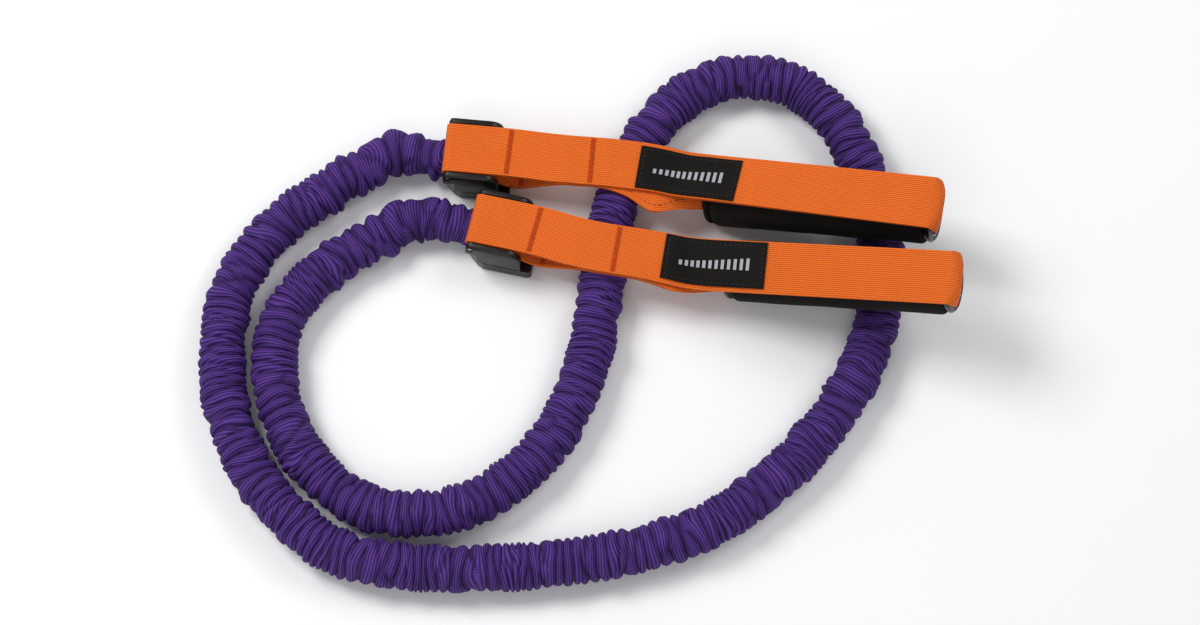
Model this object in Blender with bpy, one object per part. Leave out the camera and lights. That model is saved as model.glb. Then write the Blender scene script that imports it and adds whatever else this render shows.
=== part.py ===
"""A resistance tube: latex in a gathered fabric sleeve, with a buckle and a webbing handle on each end.

It lies on a floor at z = 0. The origin is under the middle of the handles' box, +X runs along the
handles and +Z is up. Every length is in metres.
"""

import math

import bmesh
import bpy
import numpy as np
from mathutils import Matrix, Vector

# Clearances
GAP = 0.0003
SLIDE_GAP = 0.0004
STITCH_GAP = 0.0004

# Tube and sleeve
SLEEVE_RADIUS = 0.0110
SLEEVE_FOLD_DEPTH = 0.0014
SLEEVE_END_TAPER = 0.0014
SLEEVE_TAPER_LENGTH = 0.030
SLEEVE_SLACK = 0.0007
SLEEVE_RIBS = 140
LATEX_RADIUS = 0.0050
LATEX_BORE = 0.0025
LATEX_STEP = 0.028
STRAIGHT_END = 0.024
TUBE_SIDES = 8

# Buckle, in its own frame: x = 0 is the end that the tube enters, z = 0 is the floor
RAIL_WIDTH = 0.0030
RAIL_ROOF = 0.0010
COVER_LENGTH = 0.0270
COVER_ROUND = 0.0065
COVER_CORNER = 0.0026
COVER_EDGE = 0.0015
COVER_CHAMFER = 0.0010
COVER_SHOULDER = (0.0056, 0.0043)
SHOULDER_TOP = 0.0180
BASE_LENGTH = 0.0320
BASE_HEIGHT = 0.0080
BASE_INSET = 0.0010
BASE_SIDE_INSET = 0.0002
BASE_SHOULDER = (0.0085, 0.0050)
BASE_NOSE = 0.0040
BASE_EDGE = 0.0012
CHANNEL_SLOPE = math.radians(33.0)

# Plug, ferrule and the spaces that they sit in
NECK_LENGTH = 0.0045
CHAMBER_ROOF = 0.0008
CHAMBER_PLAY = 0.0006
FERRULE_WALL = 0.0013
FERRULE_SPIGOT_LENGTH = 0.0022
FERRULE_LIP = 0.0021
FERRULE_FLANGE_LENGTH = 0.0015
PLUG_START = 0.0040
PLUG_SHOULDER = 0.0075
PLUG_STRETCH = 0.0009
PLUG_LIP = 0.0008
PLUG_FLANGE_LENGTH = 0.0010
LATEX_END = 0.0160

# Crossbar pin
PIN_RADIUS = 0.0013
PIN_X = 0.0024
PIN_END_INSET = 0.0004

# Screws that hold the base to the cover
SCREW_X = 0.0150
SCREW_HEAD_RADIUS = 0.0026
SCREW_HEAD_HEIGHT = 0.0017
SCREW_HEAD_INSET = 0.0006
SCREW_SHANK_RADIUS = 0.0013
SCREW_LENGTH = 0.0117
SCREW_SLOT_WIDTH = 0.0008
SCREW_SLOT_LENGTH = 0.0034
SCREW_SLOT_DEPTH = 0.0008

# Webbing
WEB_WIDTH = 0.0250
WEB_THICKNESS = 0.0016
WEB_SIDE_GAP = 0.0008
TACK_LENGTH = 0.0026
TACK_THICKNESS = 0.0005
TACK_INSET = 0.0012
INNER_TACK_AT = 0.0310
OUTER_TACK_AT = 0.0715
LABEL_START = 0.0943
LABEL_END = 0.1440
LABEL_WIDTH = 0.0225
LABEL_THICKNESS = 0.0008
LABEL_A_ASIDE = -0.0008
LABEL_B_ASIDE = 0.0008

# Grip, along its own axis from its left end
GRIP_LENGTH = 0.1130
FOAM_RADIUS = 0.0150
FOAM_ROUNDING = 0.0028
CAP_INSET = 0.0011
CAP_LENGTH = 0.0032
CAP_FACE = 0.0012
CAP_EDGE = 0.0016
CORE_WALL = 0.0014
CORE_BORE = 0.0100

# Round pieces
SIDES = 24
PIN_SIDES = 16
SCREW_SIDES = 12

# Layout on the floor, on a grid whose middle is taken out below
LAYOUT_CENTRE = (0.0470, 0.0366)
BUCKLE_A_AT = (-0.0751, 0.0768)
BUCKLE_B_AT = (-0.0616, 0.0398)
BENDS = (0.025, 0.042, 0.068, 0.118)
TURNS_A = (-5.5, -9.0, -4.0, -14.4)
TURNS_B = (-12.5, -19.0, -9.5, -11.3)
NECK_CROSSING = 0.0660
GRIP_A_START = 0.1310
GRIP_B_START = 0.1264
CROSSING_A = 0.2150
CROSSING_B = 0.1997
LOWER_RUN_ASIDE_A = -0.0070
LOWER_RUN_ASIDE_B = -0.0015

# The webbing's lean to the far side on each grip, at the grip's left end and at its right end
LEANS_A = (6.0, -7.0)
LEANS_B = (-16.0, -13.5)
LEAN_FADE = (0.045, 0.004)

# Shape of the webbing's upper run, measured back from the grip and along from the buckle
RISE_SHOULDER = (0.011, 0.0030)
RISE_FOOT = (0.024, 0.0005)
LEVEL_STRETCH = (0.008, 0.010)
STEP_DOWN = (0.034, 0.048)

# Shape of its lower run, out of the channel, down behind the buckle, over the tube and into the grip
BASE_TOE = 0.0005
CHANNEL_EASE = 0.0020
CHANNEL_DIP = 0.0008
CHANNEL_LIFT = 0.0004
CHANNEL_MIDDLE = 0.0055
LOW_SPAN = 0.0055
CLIMB_REACH = 0.6
OVER_TUBE = 0.0070
UNDER_TACK = 0.0040
SPREAD_START = (0.0900, 0.4)
CURL_START = (0.022, 0.02, 1.3)
CURL_MIDDLE = (0.011, 0.45, 0.5)

# The webbing's slack bend past the grip's right end, from the bore's mouth: along, up and curl
SLACK_BEND = [
    (0.0026, 0.0000, 0.82),
    (0.0045, 0.0012, 0.48),
    (0.0051, 0.0034, 0.20),
    (0.0042, 0.0056, 0.03),
    (0.0019, 0.0070, 0.0),
]

# The tube's way across the floor, from buckle A to buckle B, between its straight ends
ROUTE = [
    (-0.1160, 0.0710),
    (-0.1330, 0.0595),
    (-0.1600, 0.0370),
    (-0.1775, 0.0065),
    (-0.1810, -0.0250),
    (-0.1745, -0.0625),
    (-0.1525, -0.0995),
    (-0.1190, -0.1250),
    (-0.0830, -0.1310),
    (-0.0380, -0.1305),
    (0.0080, -0.1245),
    (0.0470, -0.1125),
    (0.0840, -0.0865),
    (0.1130, -0.0530),
    (0.1310, -0.0160),
    (0.1365, 0.0240),
    (0.1295, 0.0680),
    (0.1155, 0.0985),
    (0.0920, 0.1175),
    (0.0640, 0.1200),
    (0.0380, 0.1070),
    (0.0200, 0.0830),
    (0.0070, 0.0500),
    (0.0010, 0.0120),
    (-0.0050, -0.0250),
    (-0.0180, -0.0600),
    (-0.0430, -0.0895),
    (-0.0790, -0.1050),
    (-0.1150, -0.0990),
    (-0.1415, -0.0743),
    (-0.1550, -0.0390),
    (-0.1520, -0.0060),
    (-0.1330, 0.0180),
    (-0.1080, 0.0350),
]


def clear_scene():
    """Remove whatever the file opened with."""
    for obj in list(bpy.data.objects):
        bpy.data.objects.remove(obj, do_unlink=True)


def make_material(name, colour, roughness, metallic=0.0):
    """A Principled material of one linear colour."""
    material = bpy.data.materials.new(name)
    material.use_nodes = True
    shader = material.node_tree.nodes["Principled BSDF"]
    shader.inputs["Base Color"].default_value = (*colour, 1.0)
    shader.inputs["Roughness"].default_value = roughness
    shader.inputs["Metallic"].default_value = metallic
    material.diffuse_color = (*colour, 1.0)
    return material


def make_empty(name, location, rotation=(0.0, 0.0, 0.0), parent=None):
    """A frame that pieces are placed in."""
    empty = bpy.data.objects.new(name, None)
    empty.location = location
    empty.rotation_euler = rotation
    empty.parent = parent
    bpy.context.collection.objects.link(empty)
    return empty


def add_object(name, bm, material=None, parent=None, smooth_angle=None):
    """Turn a bmesh into a named object."""
    bmesh.ops.recalc_face_normals(bm, faces=bm.faces)
    mesh = bpy.data.meshes.new(name)
    bm.to_mesh(mesh)
    bm.free()
    if smooth_angle is not None:
        mesh.shade_smooth()
        mesh.set_sharp_from_angle(angle=math.radians(smooth_angle))
    if material is not None:
        mesh.materials.append(material)
    obj = bpy.data.objects.new(name, mesh)
    obj.parent = parent
    bpy.context.collection.objects.link(obj)
    return obj


def as_cutter(obj):
    """Keep a guide out of the model."""
    obj.hide_render = True
    obj.display_type = "WIRE"
    return obj


def cut(obj, cutter):
    """Take the cutter's shape out of the object."""
    modifier = obj.modifiers.new("cut_" + cutter.name, "BOOLEAN")
    modifier.operation = "DIFFERENCE"
    modifier.object = cutter


def turned(profile, axis, sides):
    """A solid turned about X or Z from (along, radius) points; a closed profile makes a ring."""
    bm = bmesh.new()
    if axis == "X":
        places = [Vector((along, 0.0, radius)) for along, radius in profile]
        direction = Vector((1.0, 0.0, 0.0))
    else:
        places = [Vector((radius, 0.0, along)) for along, radius in profile]
        direction = Vector((0.0, 0.0, 1.0))
    verts = [bm.verts.new(place) for place in places]
    edges = [bm.edges.new(pair) for pair in zip(verts, verts[1:])]
    if all(radius > 0.0 for _, radius in profile):
        edges.append(bm.edges.new((verts[-1], verts[0])))
    bmesh.ops.spin(
        bm,
        geom=verts + edges,
        cent=(0.0, 0.0, 0.0),
        axis=direction,
        angle=2.0 * math.pi,
        steps=sides,
        use_merge=True,
    )
    bmesh.ops.remove_doubles(bm, verts=bm.verts, dist=1e-7)
    return bm


def cylinder_profile(start, end, radius):
    """A plain cylinder's turned profile."""
    return [(start, 0.0), (start, radius), (end, radius), (end, 0.0)]


def extruded(outline, half_width):
    """A solid of an (x, z) outline, half_width to each side of y = 0."""
    bm = bmesh.new()
    face = bm.faces.new([bm.verts.new((x, -half_width, z)) for x, z in outline])
    made = bmesh.ops.extrude_face_region(bm, geom=[face])
    moved = [item for item in made["geom"] if isinstance(item, bmesh.types.BMVert)]
    bmesh.ops.translate(bm, verts=moved, vec=(0.0, 2.0 * half_width, 0.0))
    bmesh.ops.recalc_face_normals(bm, faces=bm.faces)
    return bm


def arc(centre, radius, start, end, steps):
    """Points on an arc in a plane, angles in degrees."""
    angles = np.radians(np.linspace(start, end, steps + 1))
    return [(centre[0] + radius * math.cos(a), centre[1] + radius * math.sin(a)) for a in angles]


def smooth_curve(points, samples):
    """A smooth curve through the points, as samples between each pair of them."""
    points = np.array(points, float)
    along = np.concatenate([[0.0], np.cumsum(np.linalg.norm(np.diff(points[:, :2], axis=0), axis=1))])
    slopes = np.gradient(points, along, axis=0)
    curve = []
    for i in range(len(points) - 1):
        length = along[i + 1] - along[i]
        for t in np.linspace(0.0, 1.0, samples, endpoint=False):
            curve.append(
                (2 * t**3 - 3 * t**2 + 1) * points[i]
                + (t**3 - 2 * t**2 + t) * length * slopes[i]
                + (3 * t**2 - 2 * t**3) * points[i + 1]
                + (t**3 - t**2) * length * slopes[i + 1]
            )
    curve.append(points[-1])
    return np.array(curve)


def distances(curve):
    """How far along the curve each of its points lies."""
    steps = np.linalg.norm(np.diff(curve, axis=0), axis=1)
    return np.concatenate([[0.0], np.cumsum(steps)])


def points_at(curve, places):
    """The curve's points at the given distances along it."""
    along = distances(curve)
    return np.stack([np.interp(places, along, curve[:, axis]) for axis in range(curve.shape[1])], axis=1)


# Sizes that follow from the ones above
TUBE_HEIGHT = SLEEVE_RADIUS
SLEEVE_END_RADIUS = SLEEVE_RADIUS - SLEEVE_END_TAPER
SLEEVE_BORE = (LATEX_RADIUS + SLEEVE_SLACK) / math.cos(math.pi / TUBE_SIDES)
SLEEVE_START = -(FERRULE_FLANGE_LENGTH + 2.0 * GAP)
PLUG_RADIUS = LATEX_BORE + PLUG_STRETCH
PLUG_SPIGOT = LATEX_BORE - SLIDE_GAP
PLUG_BORE = PLUG_RADIUS + GAP
LATEX_BULGE = LATEX_RADIUS + PLUG_STRETCH
PLUG_FLANGE = LATEX_BULGE - PLUG_LIP
NECK_RADIUS = LATEX_RADIUS + SLIDE_GAP
CHAMBER_RADIUS = LATEX_BULGE + SLIDE_GAP
CHAMBER_END = LATEX_END + GAP + PLUG_FLANGE_LENGTH + CHAMBER_PLAY
FERRULE_SPIGOT = NECK_RADIUS + FERRULE_WALL
FERRULE_FLANGE = FERRULE_SPIGOT + FERRULE_LIP
PLUG_SPACE = max(CHAMBER_RADIUS, FERRULE_SPIGOT + GAP)
FOLD_RADIUS = PIN_RADIUS + GAP + WEB_THICKNESS / 2.0
CHANNEL_FLOOR = TUBE_HEIGHT + PLUG_SPACE + CHAMBER_ROOF
CHANNEL_HALF = WEB_WIDTH / 2.0 + WEB_SIDE_GAP
CHANNEL_SLOPE_START = CHAMBER_END + CHAMBER_PLAY
LOWER_LEVEL = CHANNEL_FLOOR + SLIDE_GAP + WEB_THICKNESS / 2.0
PIN_Z = LOWER_LEVEL + FOLD_RADIUS
UPPER_LEVEL = PIN_Z + FOLD_RADIUS
BUCKLE_WIDTH = 2.0 * (CHANNEL_HALF + RAIL_WIDTH)
COVER_TOP = PIN_Z + PIN_RADIUS + GAP + RAIL_ROOF
COVER_BOTTOM = BASE_HEIGHT + GAP
SCREW_Y = (PLUG_SPACE + BUCKLE_WIDTH / 2.0 - BASE_SIDE_INSET) / 2.0
RUN_OVER_TUBE = 2.0 * SLEEVE_RADIUS + SLIDE_GAP + WEB_THICKNESS / 2.0
CORE_RADIUS = CORE_BORE + CORE_WALL
CAP_RADIUS = FOAM_RADIUS - CAP_INSET
CURL_RADIUS = CORE_BORE - SLIDE_GAP - WEB_THICKNESS / 2.0
RUN_ON_GRIP = FOAM_RADIUS + GAP + WEB_THICKNESS / 2.0


class Handle:
    """Where one buckle and its handle lie, and the shape of the webbing's loop."""

    def __init__(self, letter, at, turns, leans, grip_start, crossing, aside):
        self.letter = letter
        self.at = (at[0] - LAYOUT_CENTRE[0], at[1] - LAYOUT_CENTRE[1])
        self.turns = [math.radians(turn) for turn in turns]
        self.leans = [math.radians(lean) for lean in leans]
        self.grip_start = grip_start
        self.aside = aside
        self.tilt = self.resting_tilt(crossing)
        self.grip_height = self.resting_height(self.tilt)
        self.plan = self.plan_path()
        self.grip_end = grip_start + GRIP_LENGTH * math.cos(self.tilt)
        self.axis = Vector(self.axis_place(self.grip_end) - self.axis_place(grip_start)).normalized()
        self.skew = math.atan2(self.axis.y, self.axis.x) - float(self.heading(grip_start))

    @staticmethod
    def resting_height(tilt):
        """The height of the grip's axis at its left end, with its left cap's rounded edge on the floor."""
        return GAP + (CAP_RADIUS - CAP_EDGE) * math.cos(tilt) + CAP_EDGE * (1.0 - math.sin(tilt))

    def resting_tilt(self, crossing):
        """The grip's slope, with its foam on the tube at the crossing."""
        apart = FOAM_RADIUS + SLEEVE_RADIUS + GAP
        tilt = 0.0
        for _ in range(12):
            rise = apart - (self.resting_height(tilt) - SLEEVE_RADIUS) * math.cos(tilt)
            tilt = math.asin(rise / (crossing - self.grip_start))
        return tilt

    def heading(self, s):
        """The webbing's turn from the buckle's own direction, s along it."""
        return np.interp(s, BENDS, self.turns) - self.turns[0]

    def plan_path(self):
        """The webbing's middle line seen from above, in the buckle's frame."""
        s = np.linspace(0.0, 0.3, 601)
        turn = self.heading(s)
        step = s[1] - s[0]
        x = np.concatenate([[0.0], np.cumsum(np.cos(turn[:-1]) * step)])
        y = np.concatenate([[0.0], np.cumsum(np.sin(turn[:-1]) * step)])
        return s, x, y

    def forward(self, s):
        """The level direction along the webbing at s, which turns to the grip's own on the grip."""
        turn = float(self.heading(s)) + self.skew * self.lean_share(s)
        return np.array([math.cos(turn), math.sin(turn), 0.0])

    def point(self, s, z, aside=0.0):
        """A point of the webbing's loop in the buckle's frame."""
        grid, x, y = self.plan
        place = np.array([np.interp(s, grid, x), np.interp(s, grid, y), z])
        if s < 0.0:
            place[0] = s
        turn = float(self.heading(s))
        return place + np.array([-math.sin(turn), math.cos(turn), 0.0]) * aside

    def on_grip(self, along, up):
        """(s, z) of a point given along and above the grip's axis."""
        s = self.grip_start + along * math.cos(self.tilt) - up * math.sin(self.tilt)
        z = self.grip_height + along * math.sin(self.tilt) + up * math.cos(self.tilt)
        return s, z

    def lean_share(self, s):
        """How much of the grip's lean the webbing has at s."""
        start, end = (self.grip_start - back for back in LEAN_FADE)
        share = min(1.0, max(0.0, (s - start) / (end - start)))
        return share * share * (3.0 - 2.0 * share)

    def lean(self, s):
        """The webbing's lean to its far side at s, turned about the grip's axis."""
        return float(np.interp(s, (self.grip_start, self.grip_end), self.leans)) * self.lean_share(s)

    def axis_place(self, s):
        """The grip's axis at s, carried on to both sides; the leaning webbing lies beside it."""
        height = self.grip_height + (s - self.grip_start) * math.tan(self.tilt)
        return self.point(s, height, -RUN_ON_GRIP * math.sin(self.lean(s)))

    def leaned(self, s, places):
        """The places of a cross-section at s, turned about the grip's axis by the lean there."""
        centre = Vector(self.axis_place(s))
        turn = Matrix.Rotation(-self.lean(s), 3, self.axis)
        return [centre + turn @ (Vector(place) - centre) for place in places]

    def world(self, x, y, z):
        """A point of the buckle's frame on the floor's own grid."""
        turn = Matrix.Rotation(self.turns[0], 4, "Z")
        return Matrix.Translation((*self.at, 0.0)) @ turn @ Vector((x, y, z))

    def upper_run(self):
        """(s, z) points of the webbing's upper run, from the grip's left end to the crossbar."""
        start = self.on_grip(0.0, RUN_ON_GRIP)
        level = RUN_OVER_TUBE + WEB_THICKNESS + STITCH_GAP
        knots = [
            self.on_grip(CAP_LENGTH, RUN_ON_GRIP),
            start,
            (start[0] - RISE_SHOULDER[0], start[1] - RISE_SHOULDER[1]),
            (start[0] - RISE_FOOT[0], level + RISE_FOOT[1]),
            (OUTER_TACK_AT + LEVEL_STRETCH[1], level),
            (OUTER_TACK_AT - LEVEL_STRETCH[0], level),
            (STEP_DOWN[1], (level + UPPER_LEVEL) / 2.0),
            (STEP_DOWN[0], UPPER_LEVEL),
            (PIN_X, UPPER_LEVEL),
        ]
        return smooth_curve(knots, 2)[2:]

    def lower_run(self):
        """(s, z, aside, curl) points from the crossbar to the grip's left end, curl 1 being the bore's."""
        exit_s, exit_z = self.on_grip(0.0, CURL_RADIUS)
        over = RUN_OVER_TUBE
        corner = CHANNEL_SLOPE_START
        slope = math.tan(CHANNEL_SLOPE)
        low_s = BASE_LENGTH - BASE_TOE
        low_z = LOWER_LEVEL + CHANNEL_LIFT - (low_s - corner) * slope
        middle_z = LOWER_LEVEL + CHANNEL_LIFT - CHANNEL_MIDDLE * slope
        climb_start = low_s + LOW_SPAN
        climb_end = NECK_CROSSING - CLIMB_REACH * SLEEVE_RADIUS
        climb = [
            (climb_start + (climb_end - climb_start) * along, low_z + (over - low_z) * up, 0.0, 0.0)
            for along, up in ((0.0, -0.02), (0.33, 0.33), (0.66, 0.72), (1.0, 0.985))
        ]
        knots = [
            (PIN_X, LOWER_LEVEL, 0.0, 0.0),
            (corner - CHANNEL_EASE, LOWER_LEVEL, 0.0, 0.0),
            (corner + CHANNEL_EASE, LOWER_LEVEL - CHANNEL_DIP, 0.0, 0.0),
            (corner + CHANNEL_MIDDLE, middle_z, 0.0, 0.0),
            (low_s, low_z, 0.0, 0.0),
            *climb,
            (climb_end + OVER_TUBE, over, 0.0, 0.0),
            (OUTER_TACK_AT + UNDER_TACK, over, 0.0, 0.0),
            (SPREAD_START[0], over, self.aside * SPREAD_START[1], 0.0),
            (exit_s - CURL_START[0], over, self.aside * CURL_START[2], CURL_START[1]),
            (exit_s - CURL_MIDDLE[0], (over + exit_z) / 2.0, self.aside * CURL_MIDDLE[2], CURL_MIDDLE[1]),
            (exit_s, exit_z, 0.0, 1.0),
        ]
        return smooth_curve(knots, 2)

    def right_turn(self):
        """(along, up, curl) points of the slack bend, out of the bore and up onto the grip's top."""
        knots = [(GRIP_LENGTH + along, CURL_RADIUS + up, curl) for along, up, curl in SLACK_BEND]
        landing = (GRIP_LENGTH - CAP_EDGE, RUN_ON_GRIP, 0.0)
        return smooth_curve([(GRIP_LENGTH, CURL_RADIUS, 1.0), *knots, landing], 2)

    def loop(self):
        """The whole loop as (s, z, aside, curl), once round from the crossbar's underside."""
        stations = [tuple(row) for row in self.lower_run()]
        stations.append((*self.on_grip(GRIP_LENGTH / 2.0, CURL_RADIUS), 0.0, 1.0))
        for along, up, curl in self.right_turn():
            stations.append((*self.on_grip(along, up), 0.0, curl))
        for share in (0.9, 0.7, 0.5, 0.3):
            stations.append((*self.on_grip(GRIP_LENGTH * share, RUN_ON_GRIP), 0.0, 0.0))
        stations.append((*self.on_grip(CAP_LENGTH, RUN_ON_GRIP), 0.0, 0.0))
        stations += [(s, z, 0.0, 0.0) for s, z in self.upper_run()]
        for s, z in arc((PIN_X, PIN_Z), FOLD_RADIUS, 90.0, 270.0, 8)[1:-1]:
            stations.append((s, z, 0.0, 0.0))
        return stations


def ring_of(place, across, normal, down, width, low, high, curl, cells):
    """A strip's cross-section: flat, or with its edges curled down by curl."""
    inner = []
    outer = []
    facing = max(0.0, float(np.dot(normal, down)))
    for w in np.linspace(-width / 2.0, width / 2.0, cells + 1):
        spot = place + across * w
        out = normal
        if curl > 0.01:
            radius = CURL_RADIUS / curl
            angle = w / radius
            spot = place + down * radius * (1.0 - math.cos(angle)) + across * radius * math.sin(angle)
            out = normal * math.cos(angle * facing) - across * math.sin(angle * facing)
        inner.append(spot + out * low)
        outer.append(spot + out * high)
    return inner + outer[::-1]


def swept_strip(rings, closed):
    """A strip through the rings, closed into a loop or capped at its ends."""
    bm = bmesh.new()
    loops = []
    for ring in rings:
        verts = [bm.verts.new(place) for place in ring]
        loops.append([bm.edges.new(pair) for pair in zip(verts, verts[1:] + verts[:1])])
        if not closed and len(loops) in (1, len(rings)):
            bm.faces.new(verts)
    follow = loops[1:] + loops[:1] if closed else loops[1:]
    for first, second in zip(loops, follow):
        bmesh.ops.bridge_loops(bm, edges=first + second)
    return bm


def outward(stations, index, closed):
    """The tangent's outward normal in the (s, z) plane, for a loop that runs anticlockwise."""
    count = len(stations)
    before = stations[(index - 1) % count] if closed or index > 0 else stations[index]
    after = stations[(index + 1) % count] if closed or index < count - 1 else stations[index]
    ds = after[0] - before[0]
    dz = after[1] - before[1]
    length = math.hypot(ds, dz)
    return dz / length, -ds / length


def strip_rings(handle, stations, width, low, high, cells, closed):
    """The rings of a strip that lies on the webbing's loop, in the pivot's frame."""
    pivot = Vector((PIN_X, 0.0, PIN_Z))
    rings = []
    for index, (s, z, aside, curl) in enumerate(stations):
        out_s, out_z = outward(stations, index, closed)
        forward = handle.forward(s)
        upright = np.array([0.0, 0.0, 1.0])
        across = np.cross(upright, forward)
        normal = forward * out_s + upright * out_z
        down = forward * math.sin(handle.tilt) - upright * math.cos(handle.tilt)
        place = handle.axis_place(s)
        place = place + upright * (z - place[2]) + across * aside
        ring = ring_of(place, across, normal, down, width, low, high, curl, cells)
        rings.append([spot - pivot for spot in handle.leaned(s, ring)])
    return rings


def along_upper_run(handle, start, end, aside, count):
    """Stations of the upper run between two places along it, in the loop's direction."""
    grip = [handle.on_grip(GRIP_LENGTH * share, RUN_ON_GRIP) for share in (0.6, 0.3, 0.15)]
    run = np.array(grip + [tuple(row) for row in handle.upper_run()])
    places = np.linspace(end, start, count)
    heights = np.interp(places, run[::-1, 0], run[::-1, 1])
    return [(s, z, aside, 0.0) for s, z in zip(places, heights)]


def build_webbing(handle, pivot, materials, label_aside):
    """The strap, its label and its two bar tacks."""
    half = WEB_THICKNESS / 2.0
    name = handle.letter
    rings = strip_rings(handle, handle.loop(), WEB_WIDTH, -half, half, 4, True)
    add_object("strap_" + name, swept_strip(rings, True), materials["webbing"], pivot, 40)
    stations = along_upper_run(handle, LABEL_START, LABEL_END, label_aside, 12)
    low = half + GAP
    rings = strip_rings(handle, stations, LABEL_WIDTH, low, low + LABEL_THICKNESS, 1, False)
    add_object("label_" + name, swept_strip(rings, False), materials["label"], pivot, 40)
    for place, middle in (("inner", INNER_TACK_AT), ("outer", OUTER_TACK_AT)):
        ends = (middle - TACK_LENGTH / 2.0, middle + TACK_LENGTH / 2.0)
        stations = along_upper_run(handle, *ends, 0.0, 2)
        width = WEB_WIDTH - 2.0 * TACK_INSET
        rings = strip_rings(handle, stations, width, low, low + TACK_THICKNESS, 1, False)
        piece = f"tack_{place}_{name}"
        add_object(piece, swept_strip(rings, False), materials["thread"], pivot)


def cap_profile(face, inward):
    """A grip cap's (along, radius) outline, from its outer face inward; inward is 1 or -1."""
    edge = arc((CAP_EDGE, CAP_RADIUS - CAP_EDGE), CAP_EDGE, 180.0, 90.0, 3)
    seat = CORE_RADIUS + GAP
    outline = [(0.0, CORE_BORE)] + edge
    outline += [(CAP_LENGTH, CAP_RADIUS), (CAP_LENGTH, seat), (CAP_FACE - GAP, seat)]
    outline.append((CAP_FACE - GAP, CORE_BORE))
    return [(face + inward * along, radius) for along, radius in outline]


def build_grip(handle, pivot, materials):
    """The grip that turns on the webbing: core tube, foam and two end caps."""
    name = handle.letter
    place = handle.axis_place(handle.grip_start) - np.array([PIN_X, 0.0, PIN_Z])
    slope = math.asin(handle.axis.z)
    turn = math.atan2(handle.axis.y, handle.axis.x)
    axis = make_empty("grip_axis_" + name, place, (0.0, -slope, turn), pivot)
    ends = (CAP_FACE, GRIP_LENGTH - CAP_FACE)
    core = [(ends[0], CORE_BORE), (ends[0], CORE_RADIUS), (ends[1], CORE_RADIUS), (ends[1], CORE_BORE)]
    add_object("grip_core_" + name, turned(core, "X", SIDES), materials["core"], axis, 40)
    foam_bore = CORE_RADIUS + GAP
    ends = (CAP_LENGTH + GAP, GRIP_LENGTH - CAP_LENGTH - GAP)
    shoulder = FOAM_RADIUS - FOAM_ROUNDING
    foam = [(ends[0], foam_bore)]
    foam += arc((ends[0] + FOAM_ROUNDING, shoulder), FOAM_ROUNDING, 180.0, 90.0, 3)
    foam += arc((ends[1] - FOAM_ROUNDING, shoulder), FOAM_ROUNDING, 90.0, 0.0, 3)
    foam.append((ends[1], foam_bore))
    add_object("grip_foam_" + name, turned(foam, "X", SIDES), materials["foam"], axis, 50)
    for end, face, inward in (("left", 0.0, 1.0), ("right", GRIP_LENGTH, -1.0)):
        profile = cap_profile(face, inward)
        piece = f"grip_cap_{end}_{name}"
        add_object(piece, turned(profile, "X", SIDES), materials["plastic"], axis, 40)


def bored(obj, frame, radius, start, end, straight_down):
    """Cut a round space on the tube's axis; straight_down opens it to the parting face."""
    name = f"bore_{obj.name}_{round(start * 1e4)}"
    if straight_down:
        arch = arc((0.0, TUBE_HEIGHT), radius, 0.0, 180.0, SIDES // 2)
        bm = extruded([(radius, 0.0)] + arch + [(-radius, 0.0)], (end - start) / 2.0)
        bmesh.ops.rotate(bm, verts=bm.verts, matrix=Matrix.Rotation(math.pi / 2.0, 3, "Z"))
        bmesh.ops.translate(bm, verts=bm.verts, vec=((start + end) / 2.0, 0.0, 0.0))
    else:
        bm = turned(cylinder_profile(start, end, radius), "X", SIDES)
        bmesh.ops.translate(bm, verts=bm.verts, vec=(0.0, 0.0, TUBE_HEIGHT))
    cut(obj, as_cutter(add_object(name, bm, None, frame)))


def screw_holes(obj, frame, bottom, top, radius, label):
    """Cut two upright round holes, one each side of the tube."""
    for side in (-1.0, 1.0):
        profile = cylinder_profile(bottom, top, radius)
        name = f"{label}_{obj.name}_{'near' if side < 0 else 'far'}"
        cutter = add_object(name, turned(profile, "Z", SCREW_SIDES), None, frame)
        cutter.location = (SCREW_X, side * SCREW_Y, 0.0)
        cut(obj, as_cutter(cutter))


def shoulder_cut(obj, frame, size, top):
    """Cut the two upright corners beside the tube off at a slant, as far up as top."""
    along, wide = size
    half = BUCKLE_WIDTH / 2.0
    beyond = 0.002
    spare = beyond * wide / along
    bm = bmesh.new()
    for side in (-1.0, 1.0):
        outline = [
            (-beyond, side * (half - wide - spare)),
            (along + beyond, side * (half + spare)),
            (-beyond, side * (half + spare)),
        ]
        face = bm.faces.new([bm.verts.new((x, y, -beyond)) for x, y in outline])
        made = bmesh.ops.extrude_face_region(bm, geom=[face])
        moved = [item for item in made["geom"] if isinstance(item, bmesh.types.BMVert)]
        bmesh.ops.translate(bm, verts=moved, vec=(0.0, 0.0, top + beyond))
    cut(obj, as_cutter(add_object("shoulder_" + obj.name, bm, None, frame)))


def bevel_edges(bm, width, segments, wanted):
    """Bevel the edges that wanted accepts by the two ends' places."""
    edges = [edge for edge in bm.edges if wanted(edge.verts[0].co, edge.verts[1].co)]
    bmesh.ops.bevel(
        bm, geom=edges, offset=width, segments=segments, profile=0.5, affect="EDGES", material=-1
    )


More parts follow.
